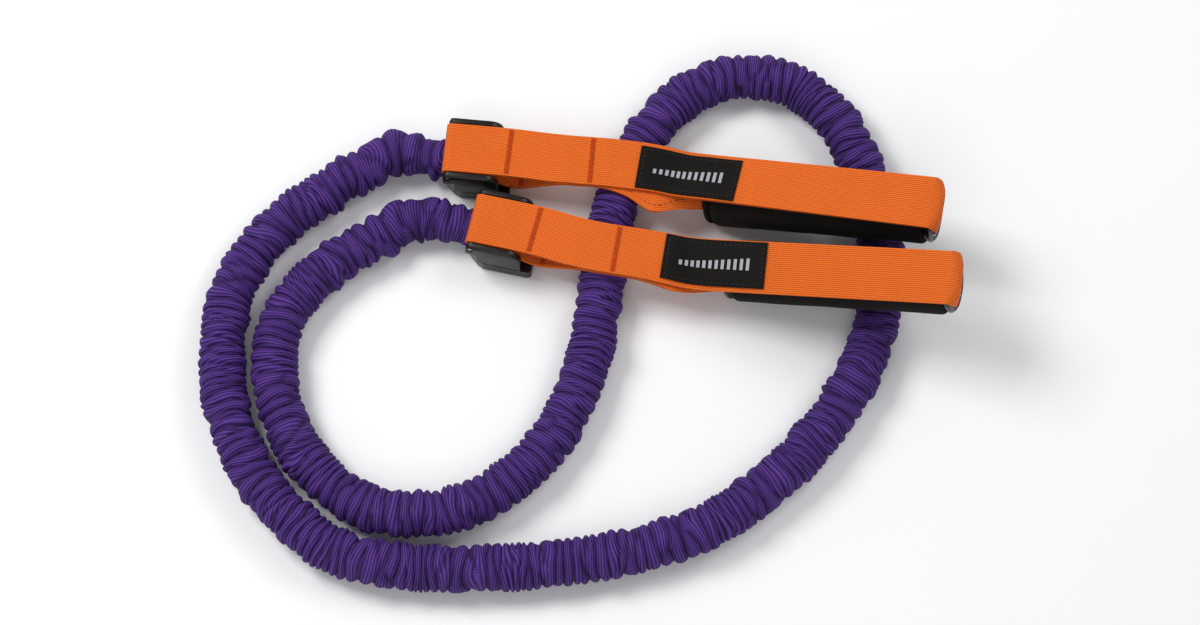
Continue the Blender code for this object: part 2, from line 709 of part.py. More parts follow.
def build_cover(frame, name, material):
    """The buckle's upper moulding: side rails, webbing channel and half of the plug's chamber."""
    half = BUCKLE_WIDTH / 2.0
    rail_top = COVER_TOP - COVER_ROUND
    outline = [(0.0, COVER_BOTTOM)]
    outline += arc((COVER_CORNER, COVER_TOP - COVER_CORNER), COVER_CORNER, 180.0, 90.0, 3)
    outline += arc((COVER_LENGTH - COVER_ROUND, rail_top), COVER_ROUND, 90.0, 0.0, 5)
    outline.append((COVER_LENGTH, COVER_BOTTOM))
    bm = extruded(outline, half)
    bevel_edges(
        bm,
        COVER_CHAMFER,
        1,
        lambda a, b: abs(a.z - COVER_BOTTOM) < 1e-6
        and abs(b.z - COVER_BOTTOM) < 1e-6
        and abs(a.y - b.y) < 1e-6,
    )
    bevel_edges(bm, COVER_EDGE, 2, lambda a, b: abs(a.y - b.y) < 1e-6 and min(a.z, b.z) > rail_top - 1e-6)
    cover = add_object("buckle_cover_" + name, bm, material, frame, 40)
    shoulder_cut(cover, frame, COVER_SHOULDER, SHOULDER_TOP)
    beyond = 0.02
    far = COVER_LENGTH + beyond
    drop = (far - CHANNEL_SLOPE_START) * math.tan(CHANNEL_SLOPE)
    channel = [
        (-beyond, CHANNEL_FLOOR),
        (CHANNEL_SLOPE_START, CHANNEL_FLOOR),
        (far, CHANNEL_FLOOR - drop),
        (far, COVER_TOP + beyond),
        (-beyond, COVER_TOP + beyond),
    ]
    cut(cover, as_cutter(add_object("channel_" + name, extruded(channel, CHANNEL_HALF), None, frame)))
    bored(cover, frame, FERRULE_SPIGOT + GAP, -beyond, FERRULE_SPIGOT_LENGTH + GAP, True)
    bored(cover, frame, NECK_RADIUS, -beyond / 2.0, NECK_LENGTH + GAP, True)
    bored(cover, frame, CHAMBER_RADIUS, NECK_LENGTH, CHAMBER_END, True)
    pin_hole = turned(cylinder_profile(-half - beyond, half + beyond, PIN_RADIUS + GAP), "X", PIN_SIDES)
    bmesh.ops.rotate(pin_hole, verts=pin_hole.verts, matrix=Matrix.Rotation(math.pi / 2.0, 3, "Z"))
    cutter = add_object("pin_hole_" + name, pin_hole, None, frame)
    cutter.location = (PIN_X, 0.0, PIN_Z)
    cut(cover, as_cutter(cutter))
    top = SCREW_HEAD_INSET + SCREW_HEAD_HEIGHT + SCREW_LENGTH + SLIDE_GAP
    screw_holes(cover, frame, 0.0, top, SCREW_SHANK_RADIUS + GAP, "thread")


def build_base(frame, name, material):
    """The buckle's lower moulding, which stands on the floor."""
    half = BUCKLE_WIDTH / 2.0 - BASE_SIDE_INSET
    nose = BASE_INSET
    outline = [(nose, BASE_HEIGHT), (nose, BASE_NOSE), (nose + BASE_NOSE, 0.0)]
    outline += arc((BASE_LENGTH - BASE_EDGE, BASE_EDGE), BASE_EDGE, -90.0, 0.0, 2)
    outline.append((BASE_LENGTH, BASE_HEIGHT))
    bm = extruded(outline, half)
    bevel_edges(
        bm,
        BASE_EDGE,
        1,
        lambda a, b: abs(a.y - b.y) < 1e-6 and min(a.z, b.z) < BASE_HEIGHT - 1e-6,
    )
    base = add_object("buckle_base_" + name, bm, material, frame, 40)
    shoulder_cut(base, frame, BASE_SHOULDER, COVER_BOTTOM)
    beyond = 0.01
    bored(base, frame, FERRULE_SPIGOT + GAP, -beyond, FERRULE_SPIGOT_LENGTH + GAP, False)
    bored(base, frame, NECK_RADIUS, -beyond / 2.0, NECK_LENGTH + GAP, False)
    bored(base, frame, CHAMBER_RADIUS, NECK_LENGTH, CHAMBER_END, False)
    seat = SCREW_HEAD_INSET + SCREW_HEAD_HEIGHT + GAP
    screw_holes(base, frame, -beyond, seat, SCREW_HEAD_RADIUS + SLIDE_GAP, "seat")
    screw_holes(base, frame, 0.0, BASE_HEIGHT + beyond, SCREW_SHANK_RADIUS + GAP, "hole")


def build_screws(frame, name, material):
    """Two screws with slotted heads, put in from below."""
    bottom = SCREW_HEAD_INSET
    neck = bottom + SCREW_HEAD_HEIGHT
    top = neck + SCREW_LENGTH
    profile = [
        (bottom, 0.0),
        (bottom, SCREW_HEAD_RADIUS - 0.0003),
        (bottom + 0.0003, SCREW_HEAD_RADIUS),
        (neck, SCREW_HEAD_RADIUS),
        (neck, SCREW_SHANK_RADIUS),
        (top - SCREW_SHANK_RADIUS, SCREW_SHANK_RADIUS),
        (top, 0.0),
    ]
    for side, label in ((-1.0, "near"), (1.0, "far")):
        place = (SCREW_X, side * SCREW_Y, 0.0)
        piece = f"screw_{label}_{name}"
        screw = add_object(piece, turned(profile, "Z", SCREW_SIDES), material, frame, 40)
        screw.location = place
        half = SCREW_SLOT_LENGTH / 2.0
        slot_top = bottom + SCREW_SLOT_DEPTH
        outline = [(-half, -bottom), (half, -bottom), (half, slot_top), (-half, slot_top)]
        slot = add_object("slot_" + piece, extruded(outline, SCREW_SLOT_WIDTH / 2.0), None, frame)
        slot.location = place
        cut(screw, as_cutter(slot))


def build_buckle(handle, frame, materials):
    """One end fitting: cover, base, crossbar, ferrule, plug and screws."""
    name = handle.letter
    build_cover(frame, name, materials["plastic"])
    build_base(frame, name, materials["plastic"])
    build_screws(frame, name, materials["steel"])
    reach = BUCKLE_WIDTH / 2.0 - PIN_END_INSET
    edge = 0.0004
    pin = [(-reach, 0.0), (-reach, PIN_RADIUS - edge), (edge - reach, PIN_RADIUS)]
    pin += [(-along, radius) for along, radius in reversed(pin)]
    bar = turned(pin, "X", PIN_SIDES)
    bmesh.ops.rotate(bar, verts=bar.verts, matrix=Matrix.Rotation(math.pi / 2.0, 3, "Z"))
    crossbar = add_object("crossbar_" + name, bar, materials["steel"], frame, 40)
    crossbar.location = (PIN_X, 0.0, PIN_Z)
    face = -GAP
    ferrule = [
        (FERRULE_SPIGOT_LENGTH, NECK_RADIUS),
        (FERRULE_SPIGOT_LENGTH, FERRULE_SPIGOT),
        (face, FERRULE_SPIGOT),
        (face, FERRULE_FLANGE),
        (face - FERRULE_FLANGE_LENGTH, FERRULE_FLANGE - 0.0005),
        (face - FERRULE_FLANGE_LENGTH, NECK_RADIUS),
    ]
    ring = add_object("sleeve_ferrule_" + name, turned(ferrule, "X", SIDES), materials["plastic"], frame, 40)
    ring.location.z = TUBE_HEIGHT
    flange = LATEX_END + GAP
    plug = [
        (PLUG_START, 0.0),
        (PLUG_START, PLUG_SPIGOT),
        (PLUG_SHOULDER - 0.0010, PLUG_SPIGOT),
        (PLUG_SHOULDER + 0.0010, PLUG_RADIUS),
        (flange, PLUG_RADIUS),
        (flange, PLUG_FLANGE),
        (flange + PLUG_FLANGE_LENGTH, PLUG_FLANGE),
        (flange + PLUG_FLANGE_LENGTH, 0.0),
    ]
    stopper = add_object("tube_plug_" + name, turned(plug, "X", PIN_SIDES), materials["plastic"], frame, 40)
    stopper.location.z = TUBE_HEIGHT


def tube_curve(first, last):
    """The tube's middle line from inside buckle A to inside buckle B, and where its ends lie on it."""
    inside = LATEX_END
    entering = [first.world(x, 0.0, TUBE_HEIGHT) for x in (inside, 0.0, -STRAIGHT_END / 2.0, -STRAIGHT_END)]
    leaving = [last.world(x, 0.0, TUBE_HEIGHT) for x in (-STRAIGHT_END, -STRAIGHT_END / 2.0, 0.0, inside)]
    middle = [(x - LAYOUT_CENTRE[0], y - LAYOUT_CENTRE[1], TUBE_HEIGHT) for x, y in ROUTE]
    points = [tuple(p) for p in entering] + middle + [tuple(p) for p in leaving]
    return smooth_curve(points, 24)


def tube_mesh(name, curve, places, radii):
    """A tube's mesh from a bevelled curve with a radius at each place."""
    data = bpy.data.curves.new(name, "CURVE")
    data.dimensions = "3D"
    data.twist_mode = "Z_UP"
    data.bevel_depth = 1.0
    data.bevel_resolution = TUBE_SIDES // 2 - 2
    data.use_fill_caps = True
    spline = data.splines.new("POLY")
    points = points_at(curve, places)
    spline.points.add(len(points) - 1)
    for target, place, radius in zip(spline.points, points, radii):
        target.co = (*place, 1.0)
        target.radius = radius
    holder = bpy.data.objects.new(name, data)
    bpy.context.collection.objects.link(holder)
    mesh = bpy.data.meshes.new_from_object(holder.evaluated_get(bpy.context.evaluated_depsgraph_get()))
    bpy.data.objects.remove(holder, do_unlink=True)
    bm = bmesh.new()
    bm.from_mesh(mesh)
    bmesh.ops.remove_doubles(bm, verts=bm.verts, dist=1e-6)
    return bm


def free_places(length):
    """Where the plain tube's rings stand between the buckles."""
    first = LATEX_END - SLEEVE_START + 0.003
    return np.linspace(first, length - first, max(2, round(length / LATEX_STEP)))


def build_sleeve(curve, material):
    """The gathered sleeve: ribs of two unlike radii on the tube's line, with its bore cut out."""
    length = distances(curve)[-1]
    start = LATEX_END - SLEEVE_START
    end = length - start
    places = np.linspace(start, end, 2 * SLEEVE_RIBS + 1)
    near_end = np.minimum(places - start, end - places)
    share = np.clip(near_end / SLEEVE_TAPER_LENGTH, 0.0, 1.0)
    crest = SLEEVE_END_RADIUS + (SLEEVE_RADIUS - SLEEVE_END_RADIUS) * share
    radii = crest - SLEEVE_FOLD_DEPTH * (np.arange(len(places)) % 2 == 0)
    sleeve = add_object("fabric_sleeve", tube_mesh("sleeve_line", curve, places, radii), material, None, 80)
    places = np.concatenate([[start - 0.004], free_places(length), [end + 0.004]])
    bore = tube_mesh("bore_line", curve, places, np.full(len(places), SLEEVE_BORE))
    cut(sleeve, as_cutter(add_object("sleeve_bore", bore)))
    points = points_at(curve, np.linspace(start, end, 900))
    spacing = (end - start) / 899
    apart = np.linalg.norm(points[:, None] - points[None], axis=2)
    far = abs(np.subtract.outer(range(900), range(900))) * spacing > 4.0 * SLEEVE_RADIUS
    least = apart[far].min() - 2.0 * SLEEVE_RADIUS
    print(f"sleeve {end - start:.4f} m long, least gap to itself {least * 1000:.2f} mm")


def build_latex(curve, material):
    """The elastic tube, swollen at each end over its plug."""
    length = distances(curve)[-1]
    swell = LATEX_END - PLUG_SHOULDER + 0.0010
    neck = LATEX_END - NECK_LENGTH
    free = free_places(length)
    places = np.concatenate([[0.0, swell, neck], free, length - np.array([neck, swell, 0.0])])
    outer = np.full(len(places), LATEX_RADIUS)
    inner = np.full(len(places), LATEX_BORE)
    outer[[0, 1, -2, -1]] = LATEX_BULGE
    inner[[0, 1, -2, -1]] = PLUG_BORE
    tube = add_object("latex_tube", tube_mesh("latex_line", curve, places, outer), material, None, 50)
    places[[0, -1]] = (-0.003, length + 0.003)
    extended = np.vstack([
        curve[0] + (curve[0] - curve[1]) / np.linalg.norm(curve[0] - curve[1]) * 0.004,
        curve,
        curve[-1] + (curve[-1] - curve[-2]) / np.linalg.norm(curve[-1] - curve[-2]) * 0.004,
    ])
    bore = tube_mesh("latex_bore_line", extended, places + 0.004, inner)
    cut(tube, as_cutter(add_object("latex_bore", bore)))


def main():
    clear_scene()
    materials = {
        "fabric": make_material("gathered_fabric", (0.070, 0.021, 0.223), 0.85),
        "latex": make_material("latex", (0.030, 0.028, 0.026), 0.45),
        "webbing": make_material("webbing", (0.880, 0.165, 0.021), 0.70),
        "thread": make_material("thread", (0.580, 0.085, 0.020), 0.75),
        "label": make_material("label", (0.010, 0.009, 0.009), 0.55),
        "plastic": make_material("moulded_plastic", (0.013, 0.012, 0.012), 0.35),
        "core": make_material("core_plastic", (0.030, 0.030, 0.032), 0.45),
        "foam": make_material("foam", (0.009, 0.008, 0.007), 0.95),
        "steel": make_material("steel", (0.560, 0.570, 0.580), 0.30, 1.0),
    }
    handles = [
        Handle("a", BUCKLE_A_AT, TURNS_A, LEANS_A, GRIP_A_START, CROSSING_A, LOWER_RUN_ASIDE_A),
        Handle("b", BUCKLE_B_AT, TURNS_B, LEANS_B, GRIP_B_START, CROSSING_B, LOWER_RUN_ASIDE_B),
    ]
    for handle, label_aside in zip(handles, (LABEL_A_ASIDE, LABEL_B_ASIDE)):
        frame = make_empty("buckle_" + handle.letter, (*handle.at, 0.0), (0.0, 0.0, handle.turns[0]))
        pivot = make_empty("pivot_" + handle.letter, (PIN_X, 0.0, PIN_Z), parent=frame)
        build_buckle(handle, frame, materials)
        build_webbing(handle, pivot, materials, label_aside)
        build_grip(handle, pivot, materials)
    bpy.context.view_layer.update()
    curve = tube_curve(*handles)
    build_sleeve(curve, materials["fabric"])
    build_latex(curve, materials["latex"])


main()
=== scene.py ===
"""Resistance tube: a gathered sleeve over an elastic tube, with a buckle and a webbing handle on each end.

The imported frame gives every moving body. This add-on dresses it: it makes the sleeve, the webbing
handles, the grips and the buckles in detail, and gives every carried-over piece its finish. Every
length is in metres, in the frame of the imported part.
"""

import math

import bmesh
import bpy
import numpy as np
from bpy.props import FloatProperty, FloatVectorProperty, IntProperty, PointerProperty
from mathutils import Matrix, Vector


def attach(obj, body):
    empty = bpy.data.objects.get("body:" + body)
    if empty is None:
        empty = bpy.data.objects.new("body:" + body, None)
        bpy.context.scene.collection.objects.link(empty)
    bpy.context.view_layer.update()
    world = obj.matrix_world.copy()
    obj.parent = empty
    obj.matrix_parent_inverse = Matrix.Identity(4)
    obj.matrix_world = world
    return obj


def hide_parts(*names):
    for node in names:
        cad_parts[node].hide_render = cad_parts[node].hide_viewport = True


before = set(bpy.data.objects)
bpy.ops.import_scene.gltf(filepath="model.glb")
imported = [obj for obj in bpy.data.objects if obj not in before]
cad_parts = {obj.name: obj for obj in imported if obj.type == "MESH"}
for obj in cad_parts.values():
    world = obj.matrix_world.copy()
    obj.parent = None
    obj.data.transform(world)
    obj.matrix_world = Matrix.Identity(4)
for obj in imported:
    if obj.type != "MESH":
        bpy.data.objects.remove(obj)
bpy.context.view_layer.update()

bl_info = {
    "name": "Resistance tube",
    "version": (1, 0, 0),
    "blender": (4, 5, 0),
    "location": "View3D > Sidebar > Resistance Tube",
    "description": "Builds the sleeve, webbing handles, grips and buckles of a resistance tube",
    "category": "Object",
}

# Clearances and the layout on the floor, as the solids have them
GAP = 0.0003
SLIDE_GAP = 0.0004
STITCH_GAP = 0.0004
LAYOUT_CENTRE = (0.0470, 0.0366)
BENDS = (0.025, 0.042, 0.068, 0.118)
NECK_CROSSING = 0.0660
CHANNEL_SLOPE = math.radians(33.0)
CHANNEL_SLOPE_START = 0.0185
CHANNEL_FLOOR = 0.0188
BASE_LENGTH = 0.0320
PIN_X = 0.0024
PIN_Z = 0.0224
PIN_RADIUS = 0.0013
TUBE_HEIGHT = 0.0110
SLEEVE_RADIUS = 0.0110
INNER_TACK_AT = 0.0310
OUTER_TACK_AT = 0.0715
LOWER_TACK_AT = 0.0385
SEAM_START = 0.0930
SEAM_END = 0.1190
SEAM_ASIDE = 0.0093
STITCH_RADIUS = 0.00019
TACK_LENGTH = 0.0026
LABEL_START = 0.0943
LABEL_END = 0.1440
GRIP_LENGTH = 0.1130
CORE_BORE = 0.0100
CORE_RADIUS = 0.0114
CAP_LENGTH = 0.0032
CAP_EDGE = 0.0016
LEAN_FADE = (0.045, 0.004)
SLACK_BEND = [
    (0.0026, 0.0000, 0.82),
    (0.0045, 0.0012, 0.48),
    (0.0051, 0.0034, 0.20),
    (0.0042, 0.0056, 0.03),
    (0.0019, 0.0070, 0.0),
]
BEND_BOW = 0.0024
BEND_BOW_REACH = 0.0045
STRAIGHT_END = 0.024
FERRULE_FACE = -0.0004
LATEX_END = 0.0160

# Each buckle's place, the turns and leans of its webbing, and where its grip starts and crosses the tube
BUCKLE_A_AT = (-0.0751, 0.0768)
BUCKLE_B_AT = (-0.0616, 0.0398)
TURNS_A = (-5.5, -9.0, -4.0, -14.4)
TURNS_B = (-12.5, -19.0, -9.5, -11.3)
LEANS_A = (6.0, -7.0)
LEANS_B = (-16.0, -13.5)
GRIP_A_START = 0.1310
GRIP_B_START = 0.1264
CROSSING_A = 0.2150
CROSSING_B = 0.1997
RUN_A_ASIDE = -0.0070
RUN_B_ASIDE = -0.0015
LABEL_A_ASIDE = -0.0008
LABEL_B_ASIDE = 0.0008

# How the upper run comes down from the grip, and how the lower run climbs out of the buckle and curls
RISE_SHOULDER = (0.011, 0.0030)
RISE_FOOT = (0.024, 0.0005)
LEVEL_STRETCH = (0.008, 0.010)
STEP_DOWN = (0.034, 0.048)
BASE_TOE = 0.0005
CHANNEL_EASE = 0.0020
CHANNEL_DIP = 0.0008
CHANNEL_LIFT = 0.0004
CHANNEL_MIDDLE = 0.0055
LOW_SPAN = 0.0055
CLIMB = ((0.0, -0.02), (0.33, 0.33), (0.66, 0.72), (1.0, 0.985))
CLIMB_REACH = 0.6
OVER_TUBE = 0.0070
UNDER_TACK = 0.004
SPREAD_START = (0.0900, 0.4)
CURL_START = (0.022, 0.02, 1.3)
CURL_MIDDLE = (0.011, 0.45, 0.5)
UP = np.array([0.0, 0.0, 1.0])

# The sleeve's cloth: cells, ends, slack by the buckles, folds and small unevenness
SLEEVE_CELLS = (2640, 36)
SLACK_ZONE = (0.035, 0.085)
PITCH_DRIFT = (0.24, 1.6)
FOLD_PITCH_RATIOS = (1.28, 0.71)
FOLD_SHARPNESS = 0.50
FIRM_STRENGTH = 0.40
DIMPLE = (0.30, 0.55)
ROW_STRETCH = 1.30
SWELL = 0.00042
SLACK_SWELL = 0.00120
CRIMP = 0.00010
END_TAPER = (0.0020, 0.020)
END_TUCK = 0.004
SLACK_DEPTH = 0.35
RADIUS_LIMITS = (0.0084, 0.0146)
RIM_TUCK = (0.66, 0.0004)
FLOOR_CLEARANCE = 0.00015
FOAM_CLEARANCE = 0.00035
GRIP_REACH = 0.002
RUN_OVER_SLEEVE = (0.044, 0.008)
RUN_MARGIN = 0.0015
RUN_CLEARANCE = 0.0002

# The tube's way across the floor, from buckle a to buckle b, between its straight ends
ROUTE = [
    (-0.1160, 0.0710),
    (-0.1330, 0.0595),
    (-0.1600, 0.0370),
    (-0.1775, 0.0065),
    (-0.1810, -0.0250),
    (-0.1745, -0.0625),
    (-0.1525, -0.0995),
    (-0.1190, -0.1250),
    (-0.0830, -0.1310),
    (-0.0380, -0.1305),
    (0.0080, -0.1245),
    (0.0470, -0.1125),
    (0.0840, -0.0865),
    (0.1130, -0.0530),
    (0.1310, -0.0160),
    (0.1365, 0.0240),
    (0.1295, 0.0680),
    (0.1155, 0.0985),
    (0.0920, 0.1175),
    (0.0640, 0.1200),
    (0.0380, 0.1070),
    (0.0200, 0.0830),
    (0.0070, 0.0500),
    (0.0010, 0.0120),
    (-0.0050, -0.0250),
    (-0.0180, -0.0600),
    (-0.0430, -0.0895),
    (-0.0790, -0.1050),
    (-0.1150, -0.0990),
    (-0.1415, -0.0743),
    (-0.1550, -0.0390),
    (-0.1520, -0.0060),
    (-0.1330, 0.0180),
    (-0.1080, 0.0350),
]


def length_setting(name, description, default):
    """A length that the user can change."""
    return FloatProperty(name=name, description=description, default=default, unit="LENGTH")


def colour_setting(name, description, default):
    """A colour that the user can change."""
    return FloatVectorProperty(name=name, description=description, default=default, subtype="COLOR")


class SleeveSettings(bpy.types.PropertyGroup):
    """Sizes and colours of the gathered sleeve."""

    crest_radius: length_setting("Crest radius", "Radius over the folds", 0.0113)
    fold_depth: length_setting("Fold depth", "Depth of the valleys between folds", 0.0027)
    fold_pitch: length_setting("Fold pitch", "Usual distance between folds", 0.0055)
    loose_pitch: length_setting("Loose pitch", "Distance between the slack folds by the buckles", 0.0088)
    row_pitch: length_setting("Row pitch", "Distance between knitted rows on the cloth", 0.00178)
    stitch_pitch: length_setting("Stitch pitch", "Width of one knitted stitch", 0.00125)
    seed: IntProperty(name="Seed", description="Arrangement of the folds", default=11)
    colour: colour_setting("Colour", "Colour on the folds", (0.126, 0.046, 0.336))
    # The valley colour is painted shade: the darker colour that the cloth blends to in the valleys between
    # the folds.
    valley_shade_colour: colour_setting("Valley colour", "Colour between the folds", (0.024, 0.008, 0.072))


class WebbingSettings(bpy.types.PropertyGroup):
    """Sizes and colours of the webbing and its stitching."""

    width: length_setting("Width", "Width of the webbing", 0.0250)
    thickness: length_setting("Thickness", "Thickness of the webbing", 0.0016)
    column_pitch: length_setting("Column pitch", "Distance between the columns of yarn", 0.00097)
    yarn_pitch: length_setting("Yarn pitch", "Length of one yarn's float", 0.00150)
    colour: colour_setting("Colour", "Colour of the yarns", (1.000, 0.215, 0.020))
    shade_colour: colour_setting("Shade colour", "Colour between the yarns", (0.560, 0.070, 0.008))
    thread_colour: colour_setting("Thread colour", "Colour of the bar tacks", (0.700, 0.100, 0.014))


class LabelSettings(bpy.types.PropertyGroup):
    """Sizes and colours of the stitched patches."""

    width: length_setting("Width", "Width of the patch", 0.0225)
    thickness: length_setting("Thickness", "Thickness of the patch", 0.0008)
    border: length_setting("Border", "Distance of the stitching from the edge", 0.0019)
    colour: colour_setting("Colour", "Colour of the patch", (0.0055, 0.0042, 0.0036))
    mark_colour: colour_setting("Mark colour", "Colour of the plain level bars", (0.36, 0.37, 0.40))


class GripSettings(bpy.types.PropertyGroup):
    """Sizes and colours of the grips."""

    foam_radius: length_setting("Foam radius", "Radius of the foam", 0.0150)
    foam_rounding: length_setting("Foam rounding", "Rounding of the foam's ends", 0.0028)
    cap_radius: length_setting("Cap radius", "Radius of the end caps", 0.0139)
    colour: colour_setting("Colour", "Colour of the foam", (0.0085, 0.0070, 0.0062))


class BuckleSettings(bpy.types.PropertyGroup):
    """Sizes and colours of the moulded buckles."""

    edge_radius: length_setting("Edge radius", "Rounding of the moulded edges", 0.0005)
    colour: colour_setting("Colour", "Colour of the moulding", (0.0075, 0.0058, 0.0054))


class StageSettings(bpy.types.PropertyGroup):
    """The floor, the lights and the camera."""

    distance: length_setting("Distance", "Distance of the camera", 1.4)
    elevation: FloatProperty(
        name="Elevation",
        description="Height of the camera's view",
        default=math.radians(69.5),
        subtype="ANGLE",
    )
    lens: FloatProperty(name="Lens", description="Focal length in millimetres", default=86.5)
    floor_colour: colour_setting("Floor colour", "Colour of the floor", (0.93, 0.93, 0.93))


def smooth_curve(points, samples):
    """A smooth curve through the points, as samples between each pair of them."""
    points = np.array(points, float)
    along = np.concatenate([[0.0], np.cumsum(np.linalg.norm(np.diff(points[:, :2], axis=0), axis=1))])
    slopes = np.gradient(points, along, axis=0)
    curve = []
    for i in range(len(points) - 1):
        length = along[i + 1] - along[i]
        for t in np.linspace(0.0, 1.0, samples, endpoint=False):
            curve.append(
                (2 * t**3 - 3 * t**2 + 1) * points[i]
                + (t**3 - 2 * t**2 + t) * length * slopes[i]
                + (3 * t**2 - 2 * t**3) * points[i + 1]
                + (t**3 - t**2) * length * slopes[i + 1]
            )
    curve.append(points[-1])
    return np.array(curve)


def distances(curve):
    """How far along the curve each of its points lies."""
    return np.concatenate([[0.0], np.cumsum(np.linalg.norm(np.diff(curve, axis=0), axis=1))])


def points_at(curve, places):
    """The curve's values at the given distances along it."""
    along = distances(curve)
    return np.stack([np.interp(places, along, curve[:, axis]) for axis in range(curve.shape[1])], axis=1)


def smoothstep(low, high, value):
    """A smooth rise from 0 at low to 1 at high."""
    share = np.clip((np.asarray(value, float) - low) / (high - low), 0.0, 1.0)
    return share * share * (3.0 - 2.0 * share)


def arc(centre, radius, start, end, steps):
    """Points on an arc in a plane, angles in degrees."""
    angles = np.radians(np.linspace(start, end, steps + 1))
    return [(centre[0] + radius * math.cos(a), centre[1] + radius * math.sin(a)) for a in angles]


class Handle:
    """Where one buckle and its handle lie, and the loop that the webbing follows."""

    def __init__(self, letter, at, turns, leans, grip_start, crossing, aside, label_aside):
        grips = bpy.context.scene.grips
        self.letter = letter
        self.body = "handle_" + letter
        self.grip_body = "grip_" + letter
        self.at = (at[0] - LAYOUT_CENTRE[0], at[1] - LAYOUT_CENTRE[1])
        self.turns = [math.radians(turn) for turn in turns]
        self.leans = [math.radians(lean) for lean in leans]
        self.grip_start = grip_start
        self.aside = aside
        self.label_aside = label_aside
        self.half = bpy.context.scene.webbing.thickness / 2.0
        self.half_width = bpy.context.scene.webbing.width / 2.0
        self.over = 2.0 * SLEEVE_RADIUS + SLIDE_GAP + self.half
        self.fold_radius = PIN_RADIUS + GAP + self.half
        self.lip_turn = SLIDE_GAP + self.half
        self.curl_radius = CORE_BORE - self.lip_turn
        self.top_radius = grips.foam_radius + GAP + self.half
        self.tilt = self.resting_tilt(crossing)
        self.grip_height = self.resting_height(self.tilt)
        self.plan = self.plan_path()
        self.grip_end = grip_start + GRIP_LENGTH * math.cos(self.tilt)
        self.axis = Vector(self.axis_place(self.grip_end) - self.axis_place(grip_start)).normalized()
        self.skew = math.atan2(self.axis.y, self.axis.x) - float(self.heading(grip_start))

    @staticmethod
    def resting_height(tilt):
        """The height of the grip's axis at its left end, with its left cap's rounded edge on the floor."""
        cap_radius = bpy.context.scene.grips.cap_radius
        return GAP + (cap_radius - CAP_EDGE) * math.cos(tilt) + CAP_EDGE * (1.0 - math.sin(tilt))

    def resting_tilt(self, crossing):
        """The grip's slope, with its foam on the tube at the crossing."""
        apart = bpy.context.scene.grips.foam_radius + SLEEVE_RADIUS + GAP
        tilt = 0.0
        for _ in range(12):
            rise = apart - (self.resting_height(tilt) - SLEEVE_RADIUS) * math.cos(tilt)
            tilt = math.asin(rise / (crossing - self.grip_start))
        return tilt

    def heading(self, s):
        """The webbing's turn from the buckle's own direction, s along it."""
        return np.interp(s, BENDS, self.turns) - self.turns[0]

    def plan_path(self):
        """The webbing's middle line seen from above, in the buckle's frame."""
        s = np.linspace(0.0, 0.3, 601)
        turn = self.heading(s)
        step = s[1] - s[0]
        x = np.concatenate([[0.0], np.cumsum(np.cos(turn[:-1]) * step)])
        y = np.concatenate([[0.0], np.cumsum(np.sin(turn[:-1]) * step)])
        return s, x, y

    def forward(self, s):
        """The level direction along the webbing at s, which turns to the grip's own on the grip."""
        turn = float(self.heading(s)) + self.skew * self.lean_share(s)
        return np.array([math.cos(turn), math.sin(turn), 0.0])

    def point(self, s, z, aside=0.0):
        """A point of the webbing's loop in the buckle's frame."""
        grid, x, y = self.plan
        place = np.array([np.interp(s, grid, x) if s >= 0.0 else s, np.interp(s, grid, y), z])
        turn = float(self.heading(s))
        return place + np.array([-math.sin(turn), math.cos(turn), 0.0]) * aside

    def on_grip(self, along, up):
        """(s, z) of a point given along and above the grip's axis."""
        s = self.grip_start + along * math.cos(self.tilt) - up * math.sin(self.tilt)
        z = self.grip_height + along * math.sin(self.tilt) + up * math.cos(self.tilt)
        return s, z

    def lean_share(self, s):
        """How much of the grip's lean the webbing has at s."""
        return float(smoothstep(self.grip_start - LEAN_FADE[0], self.grip_start - LEAN_FADE[1], s))

    def lean(self, s):
        """The webbing's lean to its far side at s, turned about the grip's axis."""
        return float(np.interp(s, (self.grip_start, self.grip_end), self.leans)) * self.lean_share(s)

    def axis_place(self, s):
        """The grip's axis at s, carried on to both sides; the leaning webbing lies beside it."""
        height = self.grip_height + (s - self.grip_start) * math.tan(self.tilt)
        return self.point(s, height, -self.top_radius * math.sin(self.lean(s)))

    def buckle_matrix(self):
        """The buckle's own frame: x = 0 is the end that the tube enters."""
        return Matrix.Translation((*self.at, 0.0)) @ Matrix.Rotation(self.turns[0], 4, "Z")

    def grip_matrix(self):
        """The grip's own frame: x runs along its axis from its left end."""
        slope = Matrix.Rotation(-math.asin(self.axis.z), 4, "Y")
        turn = Matrix.Rotation(math.atan2(self.axis.y, self.axis.x), 4, "Z")
        return self.buckle_matrix() @ Matrix.Translation(self.axis_place(self.grip_start)) @ turn @ slope

    def upper_run(self, samples):
        """(s, z) points of the webbing's upper run, from the grip's left end to the crossbar."""
        start = self.on_grip(0.0, self.top_radius)
        level = self.over + 2.0 * self.half + STITCH_GAP
        top = PIN_Z + self.fold_radius
        knots = [
            self.on_grip(CAP_LENGTH, self.top_radius),
            start,
            (start[0] - RISE_SHOULDER[0], start[1] - RISE_SHOULDER[1]),
            (start[0] - RISE_FOOT[0], level + RISE_FOOT[1]),
            (OUTER_TACK_AT + LEVEL_STRETCH[1], level),
            (OUTER_TACK_AT - LEVEL_STRETCH[0], level),
            (STEP_DOWN[1], (level + top) / 2.0),
            (STEP_DOWN[0], top),
            (PIN_X, top),
        ]
        return smooth_curve(knots, samples)

